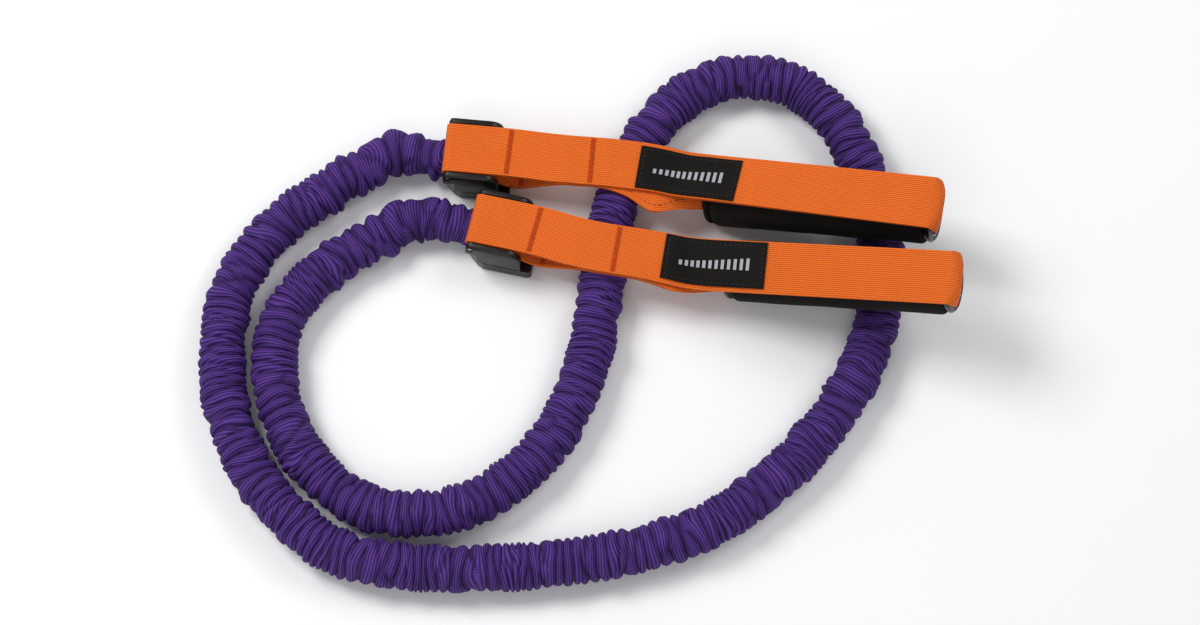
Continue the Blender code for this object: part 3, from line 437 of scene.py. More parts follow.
    def lower_run(self, samples):
        """(s, z, aside, curl) points from the crossbar to the grip's left end."""
        exit_s, exit_z = self.on_grip(0.0, self.curl_radius)
        over, middle_s = self.over, exit_s - CURL_MIDDLE[0]
        level = CHANNEL_FLOOR + SLIDE_GAP + self.half
        corner = CHANNEL_SLOPE_START
        low_s = BASE_LENGTH - BASE_TOE
        low_z = level + CHANNEL_LIFT - (low_s - corner) * math.tan(CHANNEL_SLOPE)
        half_z = level + CHANNEL_LIFT - CHANNEL_MIDDLE * math.tan(CHANNEL_SLOPE)
        climb_start = low_s + LOW_SPAN
        climb_end = NECK_CROSSING - CLIMB_REACH * SLEEVE_RADIUS
        climb = [
            (climb_start + (climb_end - climb_start) * along, low_z + (over - low_z) * up, 0.0, 0.0)
            for along, up in CLIMB
        ]
        knots = [
            (PIN_X, level, 0.0, 0.0),
            (corner - CHANNEL_EASE, level, 0.0, 0.0),
            (corner + CHANNEL_EASE, level - CHANNEL_DIP, 0.0, 0.0),
            (corner + CHANNEL_MIDDLE, half_z, 0.0, 0.0),
            (low_s, low_z, 0.0, 0.0),
            *climb,
            (climb_end + OVER_TUBE, over, 0.0, 0.0),
            (OUTER_TACK_AT + UNDER_TACK, over, 0.0, 0.0),
            (SPREAD_START[0], over, self.aside * SPREAD_START[1], 0.0),
            (exit_s - CURL_START[0], over, self.aside * CURL_START[2], CURL_START[1]),
            (middle_s, (over + exit_z) / 2.0, self.aside * CURL_MIDDLE[2], CURL_MIDDLE[1]),
            (exit_s, exit_z, 0.0, 1.0),
        ]
        return smooth_curve(knots, samples)

    def right_turn(self):
        """(along, up, curl) points of the slack bend, from the bore past the cap onto the grip's top."""
        knots = [(GRIP_LENGTH + along, self.curl_radius + up, curl) for along, up, curl in SLACK_BEND]
        landing = (GRIP_LENGTH - CAP_EDGE, self.top_radius, 0.0)
        return smooth_curve([(GRIP_LENGTH, self.curl_radius, 1.0), *knots, landing], 8)

    def loop(self, spacing):
        """Rows of s, z, aside and curl, once round from the crossbar, and how far along each is."""
        rows = [tuple(row) for row in self.lower_run(8)]
        for share in np.linspace(0.02, 0.98, 50):
            rows.append((*self.on_grip(GRIP_LENGTH * share, self.curl_radius), 0.0, 1.0))
        for along, up, curl in self.right_turn():
            rows.append((*self.on_grip(along, up), 0.0, curl))
        for share in np.linspace(0.96, 0.06, 46):
            rows.append((*self.on_grip(GRIP_LENGTH * share, self.top_radius), 0.0, 0.0))
        rows += [(s, z, 0.0, 0.0) for s, z in self.upper_run(8)]
        for s, z in arc((PIN_X, PIN_Z), self.fold_radius, 90.0, 270.0, 24)[1:-1]:
            rows.append((s, z, 0.0, 0.0))
        rows = np.array(rows)
        closed = np.vstack([rows, rows[:1]])
        along = distances(closed[:, :3])
        keep = np.concatenate([[True], np.diff(along) > 1e-6])
        closed, along = closed[keep], along[keep]
        tight = (closed[:, 0] > self.on_grip(GRIP_LENGTH - 0.004, 0.0)[0]) | (closed[:, 0] < 0.006)
        steps = np.diff(along) * np.where(tight[:-1] | tight[1:], 3.0, 1.0)
        share = np.concatenate([[0.0], np.cumsum(steps)])
        count = int(round(share[-1] / spacing))
        shares = np.linspace(0.0, share[-1], count, endpoint=False)
        places = np.interp(shares, share, along)
        even = np.stack([np.interp(shares, share, closed[:, axis]) for axis in range(4)], axis=1)
        return even, np.append(places, along[-1])

    def cloth(self, rows, closed, wide, lift):
        """Points of a cloth on the loop: one for every distance across each row, lifted outwards."""
        count = len(rows)
        spots = np.zeros((count, len(wide), 3))
        for index, (s, z, aside, curl) in enumerate(rows):
            before = rows[(index - 1) % count] if closed or index else rows[index]
            after = rows[(index + 1) % count] if closed or index < count - 1 else rows[index]
            ds, dz = after[0] - before[0], after[1] - before[1]
            length = math.hypot(ds, dz)
            forward = self.forward(s)
            across = np.cross(UP, forward)
            normal = (forward * dz - UP * ds) / length
            place = self.axis_place(s)
            centre = Vector(place)
            place = place + UP * (z - place[2]) + across * aside
            line = place + across * wide[:, None]
            out = np.repeat(normal[None, :], len(wide), axis=0)
            if curl > 0.01:
                down = forward * math.sin(self.tilt) - UP * math.cos(self.tilt)
                facing = max(0.0, float(np.dot(normal, down)))
                radius = self.curl_radius / curl
                angle = (wide / radius)[:, None]
                line = place + down * radius * (1.0 - np.cos(angle)) + across * radius * np.sin(angle)
                out = normal * np.cos(angle * facing) - across * np.sin(angle * facing)
            line = line + out * lift[index][:, None]
            flat, rise = s - self.grip_start, z - self.grip_height
            past = flat * math.cos(self.tilt) + rise * math.sin(self.tilt)
            bend = smoothstep(0.0, BEND_BOW_REACH, past - GRIP_LENGTH)
            bowed = BEND_BOW * bend * np.abs(wide / self.half_width) ** 3
            line = line - np.array(self.axis) * bowed[:, None]
            turn = Matrix.Rotation(-self.lean(s), 3, self.axis)
            spots[index] = np.array(centre) + (line - np.array(centre)) @ np.array(turn).T
        placed = np.array(self.buckle_matrix())
        return spots @ placed[:3, :3].T + placed[:3, 3]

    def run_rows(self, places, lower=False):
        """Rows of the upper or the lower run at the given places, which follow the loop's own direction."""
        line = self.lower_run(8)
        if not lower:
            shares = np.linspace(0.9, 0.07, 30)
            grip = [self.on_grip(GRIP_LENGTH * share, self.top_radius) for share in shares]
            upper = np.vstack([grip, self.upper_run(8)])[::-1]
            line = np.column_stack([upper, np.zeros((len(upper), 2))])
        return np.stack([np.interp(places, line[:, 0], line[:, axis]) for axis in range(4)], axis=1)

    def run_frame(self, s, lower=False):
        """A run's centre, flow towards the grip, across and upward directions at s."""
        step = 0.0004 if lower else -0.0004
        rows = self.run_rows((s - step, s, s + step), lower)
        spots = self.cloth(rows, False, np.array([0.0, abs(step)]), np.zeros((3, 2)))
        flow = (spots[2, 0] - spots[0, 0]) * math.copysign(1.0, step)
        flow /= np.linalg.norm(flow)
        across = (spots[1, 1] - spots[1, 0]) / abs(step)
        return spots[1, 0], flow, across, np.cross(flow, across)


def both_handles():
    """The two handles: a is the upper one and b the lower one."""
    return [
        Handle("a", BUCKLE_A_AT, TURNS_A, LEANS_A, GRIP_A_START, CROSSING_A, RUN_A_ASIDE, LABEL_A_ASIDE),
        Handle("b", BUCKLE_B_AT, TURNS_B, LEANS_B, GRIP_B_START, CROSSING_B, RUN_B_ASIDE, LABEL_B_ASIDE),
    ]


# Finishes


def math_step(tree, operation, *values):
    """One step of arithmetic in a node tree, on plain numbers or other nodes' outputs."""
    node = tree.nodes.new("ShaderNodeMath")
    node.operation = operation
    for socket, value in zip(node.inputs, values):
        if isinstance(value, (int, float)):
            socket.default_value = value
        else:
            tree.links.new(value, socket)
    return node.outputs[0]


def rows_group():
    """Yarn rows with stitches along them, for knitted and woven cloth; reads lengths in metres."""
    if "yarn_rows" in bpy.data.node_groups:
        return bpy.data.node_groups["yarn_rows"]
    group = bpy.data.node_groups.new("yarn_rows", "ShaderNodeTree")
    face = group.interface
    face.new_socket("Vector", in_out="INPUT", socket_type="NodeSocketVector")
    pitches = {"Row Pitch": 0.001, "Stitch Pitch": 0.001}
    defaults = {**pitches, "Stagger": 0.5, "Slant": 0.0, "Stitch Depth": 0.4}
    for name, value in defaults.items():
        face.new_socket(name, in_out="INPUT", socket_type="NodeSocketFloat").default_value = value
    face.new_socket("Height", in_out="OUTPUT", socket_type="NodeSocketFloat")
    nodes, links = group.nodes, group.links
    source = nodes.new("NodeGroupInput")
    target = nodes.new("NodeGroupOutput")
    split = nodes.new("ShaderNodeSeparateXYZ")
    links.new(source.outputs["Vector"], split.inputs[0])

    def step(operation, *values):
        return math_step(group, operation, *values)

    row = step("DIVIDE", split.outputs["Y"], source.outputs["Row Pitch"])
    row_number = step("FLOOR", row)
    crest = step("ABSOLUTE", step("SINE", step("MULTIPLY", row, math.pi)))
    slant = step("MULTIPLY", step("SUBTRACT", row, row_number), source.outputs["Slant"])
    shift = step("ADD", step("MULTIPLY", row_number, source.outputs["Stagger"]), slant)
    column = step("ADD", step("DIVIDE", split.outputs["X"], source.outputs["Stitch Pitch"]), shift)
    stitch = step("ABSOLUTE", step("SINE", step("MULTIPLY", column, math.pi)))
    dip = step("MULTIPLY", step("SUBTRACT", 1.0, stitch), source.outputs["Stitch Depth"])
    height = step("MULTIPLY", step("POWER", crest, 0.9), step("SUBTRACT", 1.0, dip))
    links.new(height, target.inputs["Height"])
    return group


def mottle_group():
    """Soft uneven patches, for dust, wear and the changing tone of a surface."""
    if "mottle" in bpy.data.node_groups:
        return bpy.data.node_groups["mottle"]
    group = bpy.data.node_groups.new("mottle", "ShaderNodeTree")
    face = group.interface
    face.new_socket("Vector", in_out="INPUT", socket_type="NodeSocketVector")
    face.new_socket("Scale", in_out="INPUT", socket_type="NodeSocketFloat").default_value = 100.0
    face.new_socket("Low", in_out="INPUT", socket_type="NodeSocketFloat").default_value = 0.0
    face.new_socket("High", in_out="INPUT", socket_type="NodeSocketFloat").default_value = 1.0
    face.new_socket("Mask", in_out="OUTPUT", socket_type="NodeSocketFloat")
    nodes, links = group.nodes, group.links
    source = nodes.new("NodeGroupInput")
    target = nodes.new("NodeGroupOutput")
    noise = nodes.new("ShaderNodeTexNoise")
    noise.inputs["Detail"].default_value = 4.0
    spread = nodes.new("ShaderNodeMapRange")
    spread.inputs["From Min"].default_value = 0.3
    spread.inputs["From Max"].default_value = 0.7
    links.new(source.outputs["Vector"], noise.inputs["Vector"])
    links.new(source.outputs["Scale"], noise.inputs["Scale"])
    links.new(noise.outputs["Fac"], spread.inputs["Value"])
    links.new(source.outputs["Low"], spread.inputs["To Min"])
    links.new(source.outputs["High"], spread.inputs["To Max"])
    links.new(spread.outputs["Result"], target.inputs["Mask"])
    return group


class Finish:
    """A material being put together around one Principled shader."""

    def __init__(self, name, roughness, metallic=0.0, **plain):
        self.material = bpy.data.materials.new(name)
        self.material.use_nodes = True
        self.nodes = self.material.node_tree.nodes
        self.links = self.material.node_tree.links
        self.shader = self.nodes["Principled BSDF"]
        self.shader.inputs["Roughness"].default_value = roughness
        self.shader.inputs["Metallic"].default_value = metallic
        for socket, value in plain.items():
            self.shader.inputs[socket.replace("_", " ")].default_value = value
        self.coordinates = self.nodes.new("ShaderNodeTexCoord")

    def place(self, kind="Object"):
        """The surface's own coordinates: Object or UV."""
        return self.coordinates.outputs[kind]

    def rows(self, row_pitch, stitch_pitch, slant, depth, round_tube=False):
        """The height of yarn rows on the piece's UV map, which run along it or round it."""
        node = self.nodes.new("ShaderNodeGroup")
        node.node_tree = rows_group()
        turn = self.nodes.new("ShaderNodeMapping")
        turn.inputs["Rotation"].default_value = (0.0, 0.0, math.pi / 2.0 if round_tube else 0.0)
        self.links.new(self.place("UV"), turn.inputs["Vector"])
        self.links.new(turn.outputs["Vector"], node.inputs["Vector"])
        names = ("Row Pitch", "Stitch Pitch", "Slant", "Stitch Depth")
        for name, value in zip(names, (row_pitch, stitch_pitch, slant, depth)):
            node.inputs[name].default_value = value
        return node.outputs["Height"]

    def mottle(self, scale, low=0.0, high=1.0):
        """A mask of soft patches."""
        node = self.nodes.new("ShaderNodeGroup")
        node.node_tree = mottle_group()
        self.links.new(self.place(), node.inputs["Vector"])
        node.inputs["Scale"].default_value = scale
        node.inputs["Low"].default_value = low
        node.inputs["High"].default_value = high
        return node.outputs["Mask"]

    def grain(self, scale, detail):
        """Fine noise for a bumpy skin."""
        node = self.nodes.new("ShaderNodeTexNoise")
        self.links.new(self.place(), node.inputs["Vector"])
        node.inputs["Scale"].default_value = scale
        node.inputs["Detail"].default_value = detail
        return node.outputs["Fac"]

    def value(self, operation, first, second):
        """One step of arithmetic on masks."""
        return math_step(self.material.node_tree, operation, first, second)

    def attribute(self, name):
        """A mask that the mesh carries."""
        node = self.nodes.new("ShaderNodeAttribute")
        node.attribute_name = name
        return node.outputs["Fac"]

    def blend(self, mask, low, high):
        """A colour between low and high by a mask."""
        node = self.nodes.new("ShaderNodeMix")
        node.data_type = "RGBA"
        self.links.new(mask, node.inputs["Factor"])
        for socket, colour in (("A", low), ("B", high)):
            target = [item for item in node.inputs if item.name == socket and item.type == "RGBA"][0]
            if hasattr(colour, "links"):
                self.links.new(colour, target)
            else:
                target.default_value = (*colour, 1.0)
        return [item for item in node.outputs if item.type == "RGBA"][0]

    def spread(self, mask, low, high):
        """A mask rescaled to run from low to high."""
        node = self.nodes.new("ShaderNodeMapRange")
        self.links.new(mask, node.inputs["Value"])
        node.inputs["To Min"].default_value = low
        node.inputs["To Max"].default_value = high
        return node.outputs["Result"]

    def bump(self, height, distance, strength=1.0, under=None):
        """A bump normal from a height."""
        node = self.nodes.new("ShaderNodeBump")
        node.inputs["Distance"].default_value = distance
        node.inputs["Strength"].default_value = strength
        self.links.new(height, node.inputs["Height"])
        if under is not None:
            self.links.new(under, node.inputs["Normal"])
        return node.outputs["Normal"]

    def feed(self, socket, source):
        """Join a value to the shader."""
        self.links.new(source, self.shader.inputs[socket])

    def tone(self, scale, colours, roughness):
        """Feed a colour and a roughness that change together in soft patches."""
        mask = self.mottle(scale)
        self.feed("Base Color", self.blend(mask, *colours))
        self.feed("Roughness", self.spread(mask, *roughness))

    def grained(self, scale, detail, depth, strength):
        """Feed a finely grained skin."""
        self.feed("Normal", self.bump(self.grain(scale, detail), depth, strength))


def darker(colour, share):
    """A colour scaled by a share."""
    return tuple(channel * share for channel in colour)


def knitted_finish(sleeve):
    """Knitted fabric: twisted yarns that run round the tube with the folds, with painted shade that darkens
    the valleys between the folds and leaves the crests lighter.
    """
    finish = Finish("gathered_fabric", 0.80, Specular_IOR_Level=0.25)
    rows = finish.rows(sleeve.row_pitch, sleeve.stitch_pitch, -0.45, 0.35, True)
    # Painted shade: the fold height darkens the colour from the crests into the valleys.
    crest = finish.value("POWER", finish.attribute("crest"), 2.0)
    base = finish.blend(crest, tuple(sleeve.valley_shade_colour), tuple(sleeve.colour))
    worn = finish.blend(finish.mottle(90.0, 0.0, 0.35), base, darker(sleeve.colour, 1.25))
    gap = finish.value("POWER", finish.spread(rows, 1.0, 0.0), 0.8)
    finish.feed("Base Color", finish.blend(gap, worn, darker(sleeve.valley_shade_colour, 0.9)))
    finish.feed("Roughness", finish.spread(rows, 0.95, 0.68))
    finish.feed("Normal", finish.bump(rows, 0.00055, 1.0))
    return finish.material


def webbing_finish(webbing):
    """Woven webbing: columns of warp yarns along it, staggered from one to the next."""
    finish = Finish("webbing", 0.66, Specular_IOR_Level=0.22)
    weave = finish.rows(webbing.column_pitch, webbing.yarn_pitch, 0.0, 0.75)
    tone = finish.mottle(55.0, 0.0, 0.5)
    yarn = finish.blend(tone, tuple(webbing.colour), darker(webbing.colour, 0.86))
    gap = finish.value("POWER", finish.spread(weave, 1.0, 0.0), 1.2)
    finish.feed("Base Color", finish.blend(gap, yarn, tuple(webbing.shade_colour)))
    finish.feed("Roughness", finish.spread(weave, 0.85, 0.55))
    finish.feed("Normal", finish.bump(weave, 0.00035, 1.0))
    return finish.material


def thread_finish(webbing):
    """Twisted sewing thread."""
    finish = Finish("thread", 0.62, Specular_IOR_Level=0.25)
    colour = tuple(webbing.thread_colour)
    finish.tone(900.0, (darker(colour, 0.72), colour), (0.72, 0.52))
    finish.grained(4200.0, 3.0, 0.00008, 0.6)
    return finish.material


def label_finish(label):
    """Satin patch with a fine weave."""
    finish = Finish("label", 0.60, Specular_IOR_Level=0.12)
    finish.tone(120.0, (darker(label.colour, 0.75), darker(label.colour, 1.30)), (0.55, 0.70))
    weave = finish.rows(0.00036, 0.00050, 0.0, 0.35)
    finish.feed("Normal", finish.bump(weave, 0.00008, 0.6))
    return finish.material


def stitch_finish():
    """Black sewing thread of the patch."""
    finish = Finish("stitch_thread", 0.45)
    finish.tone(1500.0, ((0.004, 0.004, 0.004), (0.016, 0.015, 0.015)), (0.38, 0.60))
    return finish.material


def print_finish(label):
    """Light printed film of the patch's plain bars."""
    finish = Finish("label_print", 0.50)
    colour = tuple(label.mark_colour)
    finish.tone(700.0, (darker(colour, 0.86), colour), (0.42, 0.60))
    return finish.material


def moulded_finish(buckle):
    """Moulded nylon: satin skin with a fine spark-eroded grain and slightly rubbed patches."""
    finish = Finish("moulded_plastic", 0.36, Specular_IOR_Level=0.30)
    colour = tuple(buckle.colour)
    finish.tone(160.0, (colour, darker(colour, 1.5)), (0.27, 0.40))
    finish.grained(2600.0, 2.0, 0.00004, 0.55)
    return finish.material


def cap_finish():
    """Glossy moulded plastic of the grip's end caps."""
    finish = Finish("cap_plastic", 0.16, Specular_IOR_Level=0.60)
    finish.tone(220.0, ((0.0090, 0.0085, 0.0085), (0.0150, 0.0140, 0.0140)), (0.11, 0.24))
    return finish.material


def foam_finish(grip):
    """Closed-cell foam: matte, with small open cells."""
    finish = Finish("foam", 0.92, Specular_IOR_Level=0.20)
    finish.tone(90.0, (darker(grip.colour, 0.75), darker(grip.colour, 1.30)), (0.86, 0.97))
    cells = finish.nodes.new("ShaderNodeTexVoronoi")
    finish.links.new(finish.place(), cells.inputs["Vector"])
    cells.inputs["Scale"].default_value = 1500.0
    grain = finish.bump(finish.grain(700.0, 4.0), 0.00012, 0.5)
    finish.feed("Normal", finish.bump(cells.outputs["Distance"], 0.00012, 0.5, grain))
    return finish.material


def core_finish():
    """Extruded tube inside the grip."""
    finish = Finish("core_plastic", 0.45)
    finish.tone(140.0, ((0.020, 0.020, 0.022), (0.034, 0.034, 0.036)), (0.38, 0.55))
    return finish.material


def latex_finish():
    """Dipped latex with a faint powdery bloom."""
    finish = Finish("latex", 0.40, Coat_Weight=0.10)
    finish.tone(130.0, ((0.020, 0.018, 0.017), (0.055, 0.052, 0.048)), (0.30, 0.62))
    return finish.material


def steel_finish():
    """Drawn steel with fine scratches."""
    finish = Finish("steel", 0.30, metallic=1.0)
    finish.tone(500.0, ((0.42, 0.43, 0.44), (0.60, 0.61, 0.62)), (0.22, 0.42))
    finish.grained(3000.0, 2.0, 0.00003, 0.4)
    return finish.material


def floor_finish(stage):
    """Plain pale paper."""
    finish = Finish("floor_paper", 0.9)
    colour = tuple(stage.floor_colour)
    finish.feed("Base Color", finish.blend(finish.mottle(3.0), darker(colour, 0.995), colour))
    return finish.material


# Pieces


def add_piece(name, bm, material, body, smooth_angle=None):
    """Turn a bmesh into a finished piece that rides on a body."""
    mesh = bpy.data.meshes.new(name)
    bm.to_mesh(mesh)
    bm.free()
    if smooth_angle is not None:
        mesh.shade_smooth()
        mesh.set_sharp_from_angle(angle=math.radians(smooth_angle))
    mesh.materials.append(material)
    piece = bpy.data.objects.new(name, mesh)
    bpy.context.collection.objects.link(piece)
    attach(piece, body)
    return piece


def thicken(piece, thickness, offset):
    """Give a cloth its thickness."""
    solid = piece.modifiers.new("thickness", "SOLIDIFY")
    solid.thickness = thickness
    solid.offset = offset
    return solid


def round_edges(piece, name, width, segments, angle):
    """Round the piece's edges that are sharper than an angle in degrees."""
    edge = piece.modifiers.new(name, "BEVEL")
    edge.width = width
    edge.segments = segments
    edge.limit_method = "ANGLE"
    edge.angle_limit = math.radians(angle)


def placed_shape(place, axes, size):
    """The matrix that scales a unit shape, turns it to the axes and puts it in place."""
    turn = Matrix(np.stack(axes, axis=1).tolist()).to_4x4()
    return Matrix.Translation(Vector(place)) @ turn @ Matrix.Diagonal((*size, 1.0))


def cloth_grid(rows, cells, along, across, mask=None):
    """A flat cloth of rows by cells, its UV map the distances on it, and each corner's row and cell."""
    bm = bmesh.new()
    bm.loops.layers.uv.new("UVMap")
    if mask:
        bm.verts.layers.float.new(mask)
    bmesh.ops.create_grid(bm, x_segments=cells, y_segments=rows, size=0.5, calc_uvs=True)
    uv = bm.loops.layers.uv.active
    index = {vert: (round((vert.co.y + 0.5) * rows), round((vert.co.x + 0.5) * cells)) for vert in bm.verts}
    for face in bm.faces:
        for corner in face.loops:
            row, cell = index[corner.vert]
            corner[uv].uv = (float(along[row, cell]), float(across[cell]))
    return bm, index


def waves(along, around, reach, harmonics, count, rng):
    """Smooth uneven waves over a tube, closed round it, of unit strength."""
    total = np.zeros(np.broadcast(along, around).shape)
    for _ in range(count):
        turns = rng.integers(-harmonics, harmonics + 1)
        rate = rng.uniform(0.25, 1.0) / reach
        total += np.cos(turns * around + 2.0 * math.pi * rate * along + rng.uniform(0.0, 2.0 * math.pi))
    return total / math.sqrt(count / 2.0)


def gathers(along, around, length, sleeve):
    """Fold height from 0 to 1, slack swelling and the cloth's own lengthwise place, over the sleeve."""
    rng = np.random.default_rng(sleeve.seed)
    near_end = np.minimum(along, length - along)
    slack = 1.0 - smoothstep(*SLACK_ZONE, near_end)
    line = along[:, 0]
    pitch = sleeve.fold_pitch + (sleeve.loose_pitch - sleeve.fold_pitch) * slack[:, 0]
    drift = waves(line[:, None], np.zeros((1, 1)), 0.035, 0, 12, rng)[:, 0]
    pitch = pitch * (1.0 + PITCH_DRIFT[0] * np.clip(drift, -PITCH_DRIFT[1], PITCH_DRIFT[1]))
    step = line[1] - line[0]
    turns = np.concatenate([[0.0], np.cumsum(step / pitch[:-1])])[:, None]
    sway = 1.20 * waves(along, around, 0.026, 1, 14, rng) + 0.80 * waves(along, around, 0.014, 3, 18, rng)
    first = 2.0 * math.pi * turns + sway
    second = 2.0 * math.pi * turns * FOLD_PITCH_RATIOS[0] + around
    second = second + 0.8 * waves(along, around, 0.014, 2, 14, rng)
    third = 2.0 * math.pi * turns * FOLD_PITCH_RATIOS[1] - 2.0 * around
    third = third + 0.8 * waves(along, around, 0.014, 2, 14, rng)
    strength = 1.0 + 0.30 * waves(along, around, 0.016, 1, 12, rng)
    mix = 0.80 + 0.45 * waves(along, around, 0.013, 2, 14, rng)
    mix_low = 0.60 + 0.35 * waves(along, around, 0.015, 2, 14, rng)
    field = strength * np.exp(1j * first) + mix * np.exp(1j * second) + mix_low * np.exp(1j * third)
    sharp = np.abs(np.cos(np.angle(field) / 2.0)) ** FOLD_SHARPNESS
    firm = np.clip(np.abs(field) / FIRM_STRENGTH, 0.0, 1.0)
    fold = 1.0 - (1.0 - sharp) * firm
    dimple = np.exp(-((np.abs(field) / DIMPLE[0]) ** 2))
    fold = fold * (1.0 - DIMPLE[1] * dimple)
    crimp = waves(along, around, 0.0034, 5, 26, rng)
    swell = SWELL * waves(along, around, 0.013, 2, 18, rng)
    swell += slack * SLACK_SWELL * waves(along, around, 0.012, 1, 14, rng)
    rows = (along + sway / (2.0 * math.pi) * sleeve.fold_pitch) * ROW_STRETCH
    return fold, swell + CRIMP * crimp, rows, slack


def tube_line(handles):
    """The tube's middle line, and where on it the sleeve begins and ends."""
    first, last = handles

    def on_buckle(handle, x):
        return tuple(handle.buckle_matrix() @ Vector((x, 0.0, TUBE_HEIGHT)))

    stops = (LATEX_END, 0.0, -STRAIGHT_END / 2.0, -STRAIGHT_END)
    points = [on_buckle(first, x) for x in stops]
    points += [(x - LAYOUT_CENTRE[0], y - LAYOUT_CENTRE[1], TUBE_HEIGHT) for x, y in ROUTE]
    points += [on_buckle(last, x) for x in reversed(stops)]
    curve = smooth_curve(points, 24)
    start = LATEX_END - FERRULE_FACE
    return curve, start, distances(curve)[-1] - start


def pressed(spots, handles):
    """Push the sleeve's cloth out of the floor, the webbing and the grips that lie on it."""
    grips = bpy.context.scene.grips
    webbing = bpy.context.scene.webbing
    spots[..., 2] = np.maximum(spots[..., 2], FLOOR_CLEARANCE)
    for handle in handles:
        matrix = handle.grip_matrix()
        origin = np.array(matrix.translation)
        axis = np.array(matrix.to_3x3() @ Vector((1.0, 0.0, 0.0)))
        reach = (spots - origin) @ axis
        foot = origin + reach[..., None] * axis
        out = spots - foot
        gap = np.linalg.norm(out, axis=-1)
        clear = grips.foam_radius + FOAM_CLEARANCE
        inside = (gap < clear) & (reach > -GRIP_REACH) & (reach < GRIP_LENGTH + GRIP_REACH)
        spots[inside] = foot[inside] + out[inside] / gap[inside][:, None] * clear
        stretch = np.linspace(RUN_OVER_SLEEVE[0], handle.grip_start - RUN_OVER_SLEEVE[1], 60)
        rows = handle.run_rows(stretch, True)
        path = handle.cloth(rows, False, np.zeros(1), np.zeros((60, 1)))[:, 0, :2]
        apart = np.linalg.norm(spots[..., None, :2] - path, axis=-1).min(axis=-1)
        under = apart < webbing.width / 2.0 + RUN_MARGIN
        roof = handle.over - handle.half - RUN_CLEARANCE
        spots[..., 2] = np.where(under, np.minimum(spots[..., 2], roof), spots[..., 2])
    return spots


def make_sleeve(handles, material):
    """The gathered sleeve, rolled from one cloth round the tube's line."""
    sleeve = bpy.context.scene.sleeve
    rings, sides = SLEEVE_CELLS
    curve, start, end = tube_line(handles)
    places = np.linspace(start, end, rings + 1)
    centres = points_at(curve, places)
    flow = np.gradient(centres, axis=0)
    flow /= np.linalg.norm(flow, axis=1)[:, None]
    side = np.stack([-flow[:, 1], flow[:, 0], np.zeros(rings + 1)], axis=1)
    around = np.linspace(0.0, 2.0 * math.pi, sides + 1)[None, :]
    along = (places - start)[:, None]
    fold, swell, rows, slack = gathers(along, around, end - start, sleeve)
    near_end = np.minimum(along, end - start - along)
    crest = sleeve.crest_radius - END_TAPER[0] * (1.0 - smoothstep(0.0, END_TAPER[1], near_end))
    tuck = smoothstep(0.0, END_TUCK, near_end)
    depth = sleeve.fold_depth * (1.0 + SLACK_DEPTH * slack) * tuck
    radius = np.clip(crest - depth * (1.0 - fold) + swell * tuck, *RADIUS_LIMITS)
    spots = centres[:, None, :] + radius[..., None] * (
        np.cos(around)[..., None] * side[:, None, :] + np.sin(around)[..., None] * UP
    )
    spots = pressed(spots, handles)
    bm, index = cloth_grid(rings, sides, rows, sleeve.crest_radius * around[0], "crest")
    crest_mask = bm.verts.layers.float["crest"]
    # The crest mask keeps each corner's fold height for the finish's painted shade in the valleys.
    for vert, (ring, number) in index.items():
        vert.co = spots[ring, number % sides]
        vert[crest_mask] = float(fold[ring, number % sides])
    bmesh.ops.remove_doubles(bm, verts=bm.verts, dist=1e-7)
    rims = [edge for edge in bm.edges if edge.is_boundary]
    for ring, inward in ((0, flow[0]), (rings, -flow[-1])):
        middle = Vector(centres[ring])
        rim = [edge for edge in rims if (edge.verts[0].co - middle).length < 2.0 * SLEEVE_RADIUS]
        made = bmesh.ops.extrude_edge_only(bm, edges=rim)
        for vert in (item for item in made["geom"] if isinstance(item, bmesh.types.BMVert)):
            vert.co = middle + (vert.co - middle) * RIM_TUCK[0] + Vector(inward) * RIM_TUCK[1]
    bmesh.ops.recalc_face_normals(bm, faces=bm.faces)
    piece = add_piece("gathered_sleeve", bm, material, "tube")
    piece.data.shade_smooth()
    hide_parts("fabric_sleeve")
    tuple(handles[0].buckle_matrix() @ Vector((0.0, 0.0, TUBE_HEIGHT)))
    return piece


def make_strap(handle, material):
    """The closed loop of webbing, from a flat cloth bent round the loop and given its thickness."""
    webbing = bpy.context.scene.webbing
    rows, along = handle.loop(0.0009)
    count, cells = len(rows), 24
    wide = np.linspace(-0.5, 0.5, cells + 1) * webbing.width
    rng = np.random.default_rng(5 if handle.letter == "a" else 6)
    turn = 2.0 * math.pi * along[:-1, None] / along[-1]
    ripple = np.zeros((count, cells + 1))
    for _ in range(14):
        waves_round = rng.integers(9, 34)
        tip = rng.uniform(-1.2, 1.2) / webbing.width * 2.0
        ripple += np.cos(waves_round * turn + rng.uniform(0.0, 6.3) + tip * wide[None, :]) / 14.0
    upper = (rows[:, 1] > handle.over) & (rows[:, 3] < 0.1) & (rows[:, 0] < handle.grip_start)
    settled = [np.abs(rows[:, 0] - at) - TACK_LENGTH for at in (INNER_TACK_AT, OUTER_TACK_AT)]
    settled += [np.maximum(LABEL_START - rows[:, 0], rows[:, 0] - LABEL_END)]
    settled += [rows[:, 0] - PIN_X - handle.fold_radius]
    free = upper * smoothstep(0.0, 0.006, np.min(settled, axis=0))
    spots = handle.cloth(rows, True, wide, 0.0011 * np.maximum(ripple, 0.0) * free[:, None])
    bm, index = cloth_grid(count, cells, np.repeat(along[:, None], cells + 1, axis=1), wide)
    for vert, (row, cell) in index.items():
        vert.co = spots[row % count, cell]
    bmesh.ops.remove_doubles(bm, verts=bm.verts, dist=1e-6)
    bmesh.ops.recalc_face_normals(bm, faces=bm.faces)
    piece = add_piece("webbing_loop_" + handle.letter, bm, material, handle.body, 60)
    thicken(piece, webbing.thickness, 0.0).use_even_offset = True
    round_edges(piece, "selvedge", 0.0005, 2, 60.0)
    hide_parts("strap_" + handle.letter)
    return piece


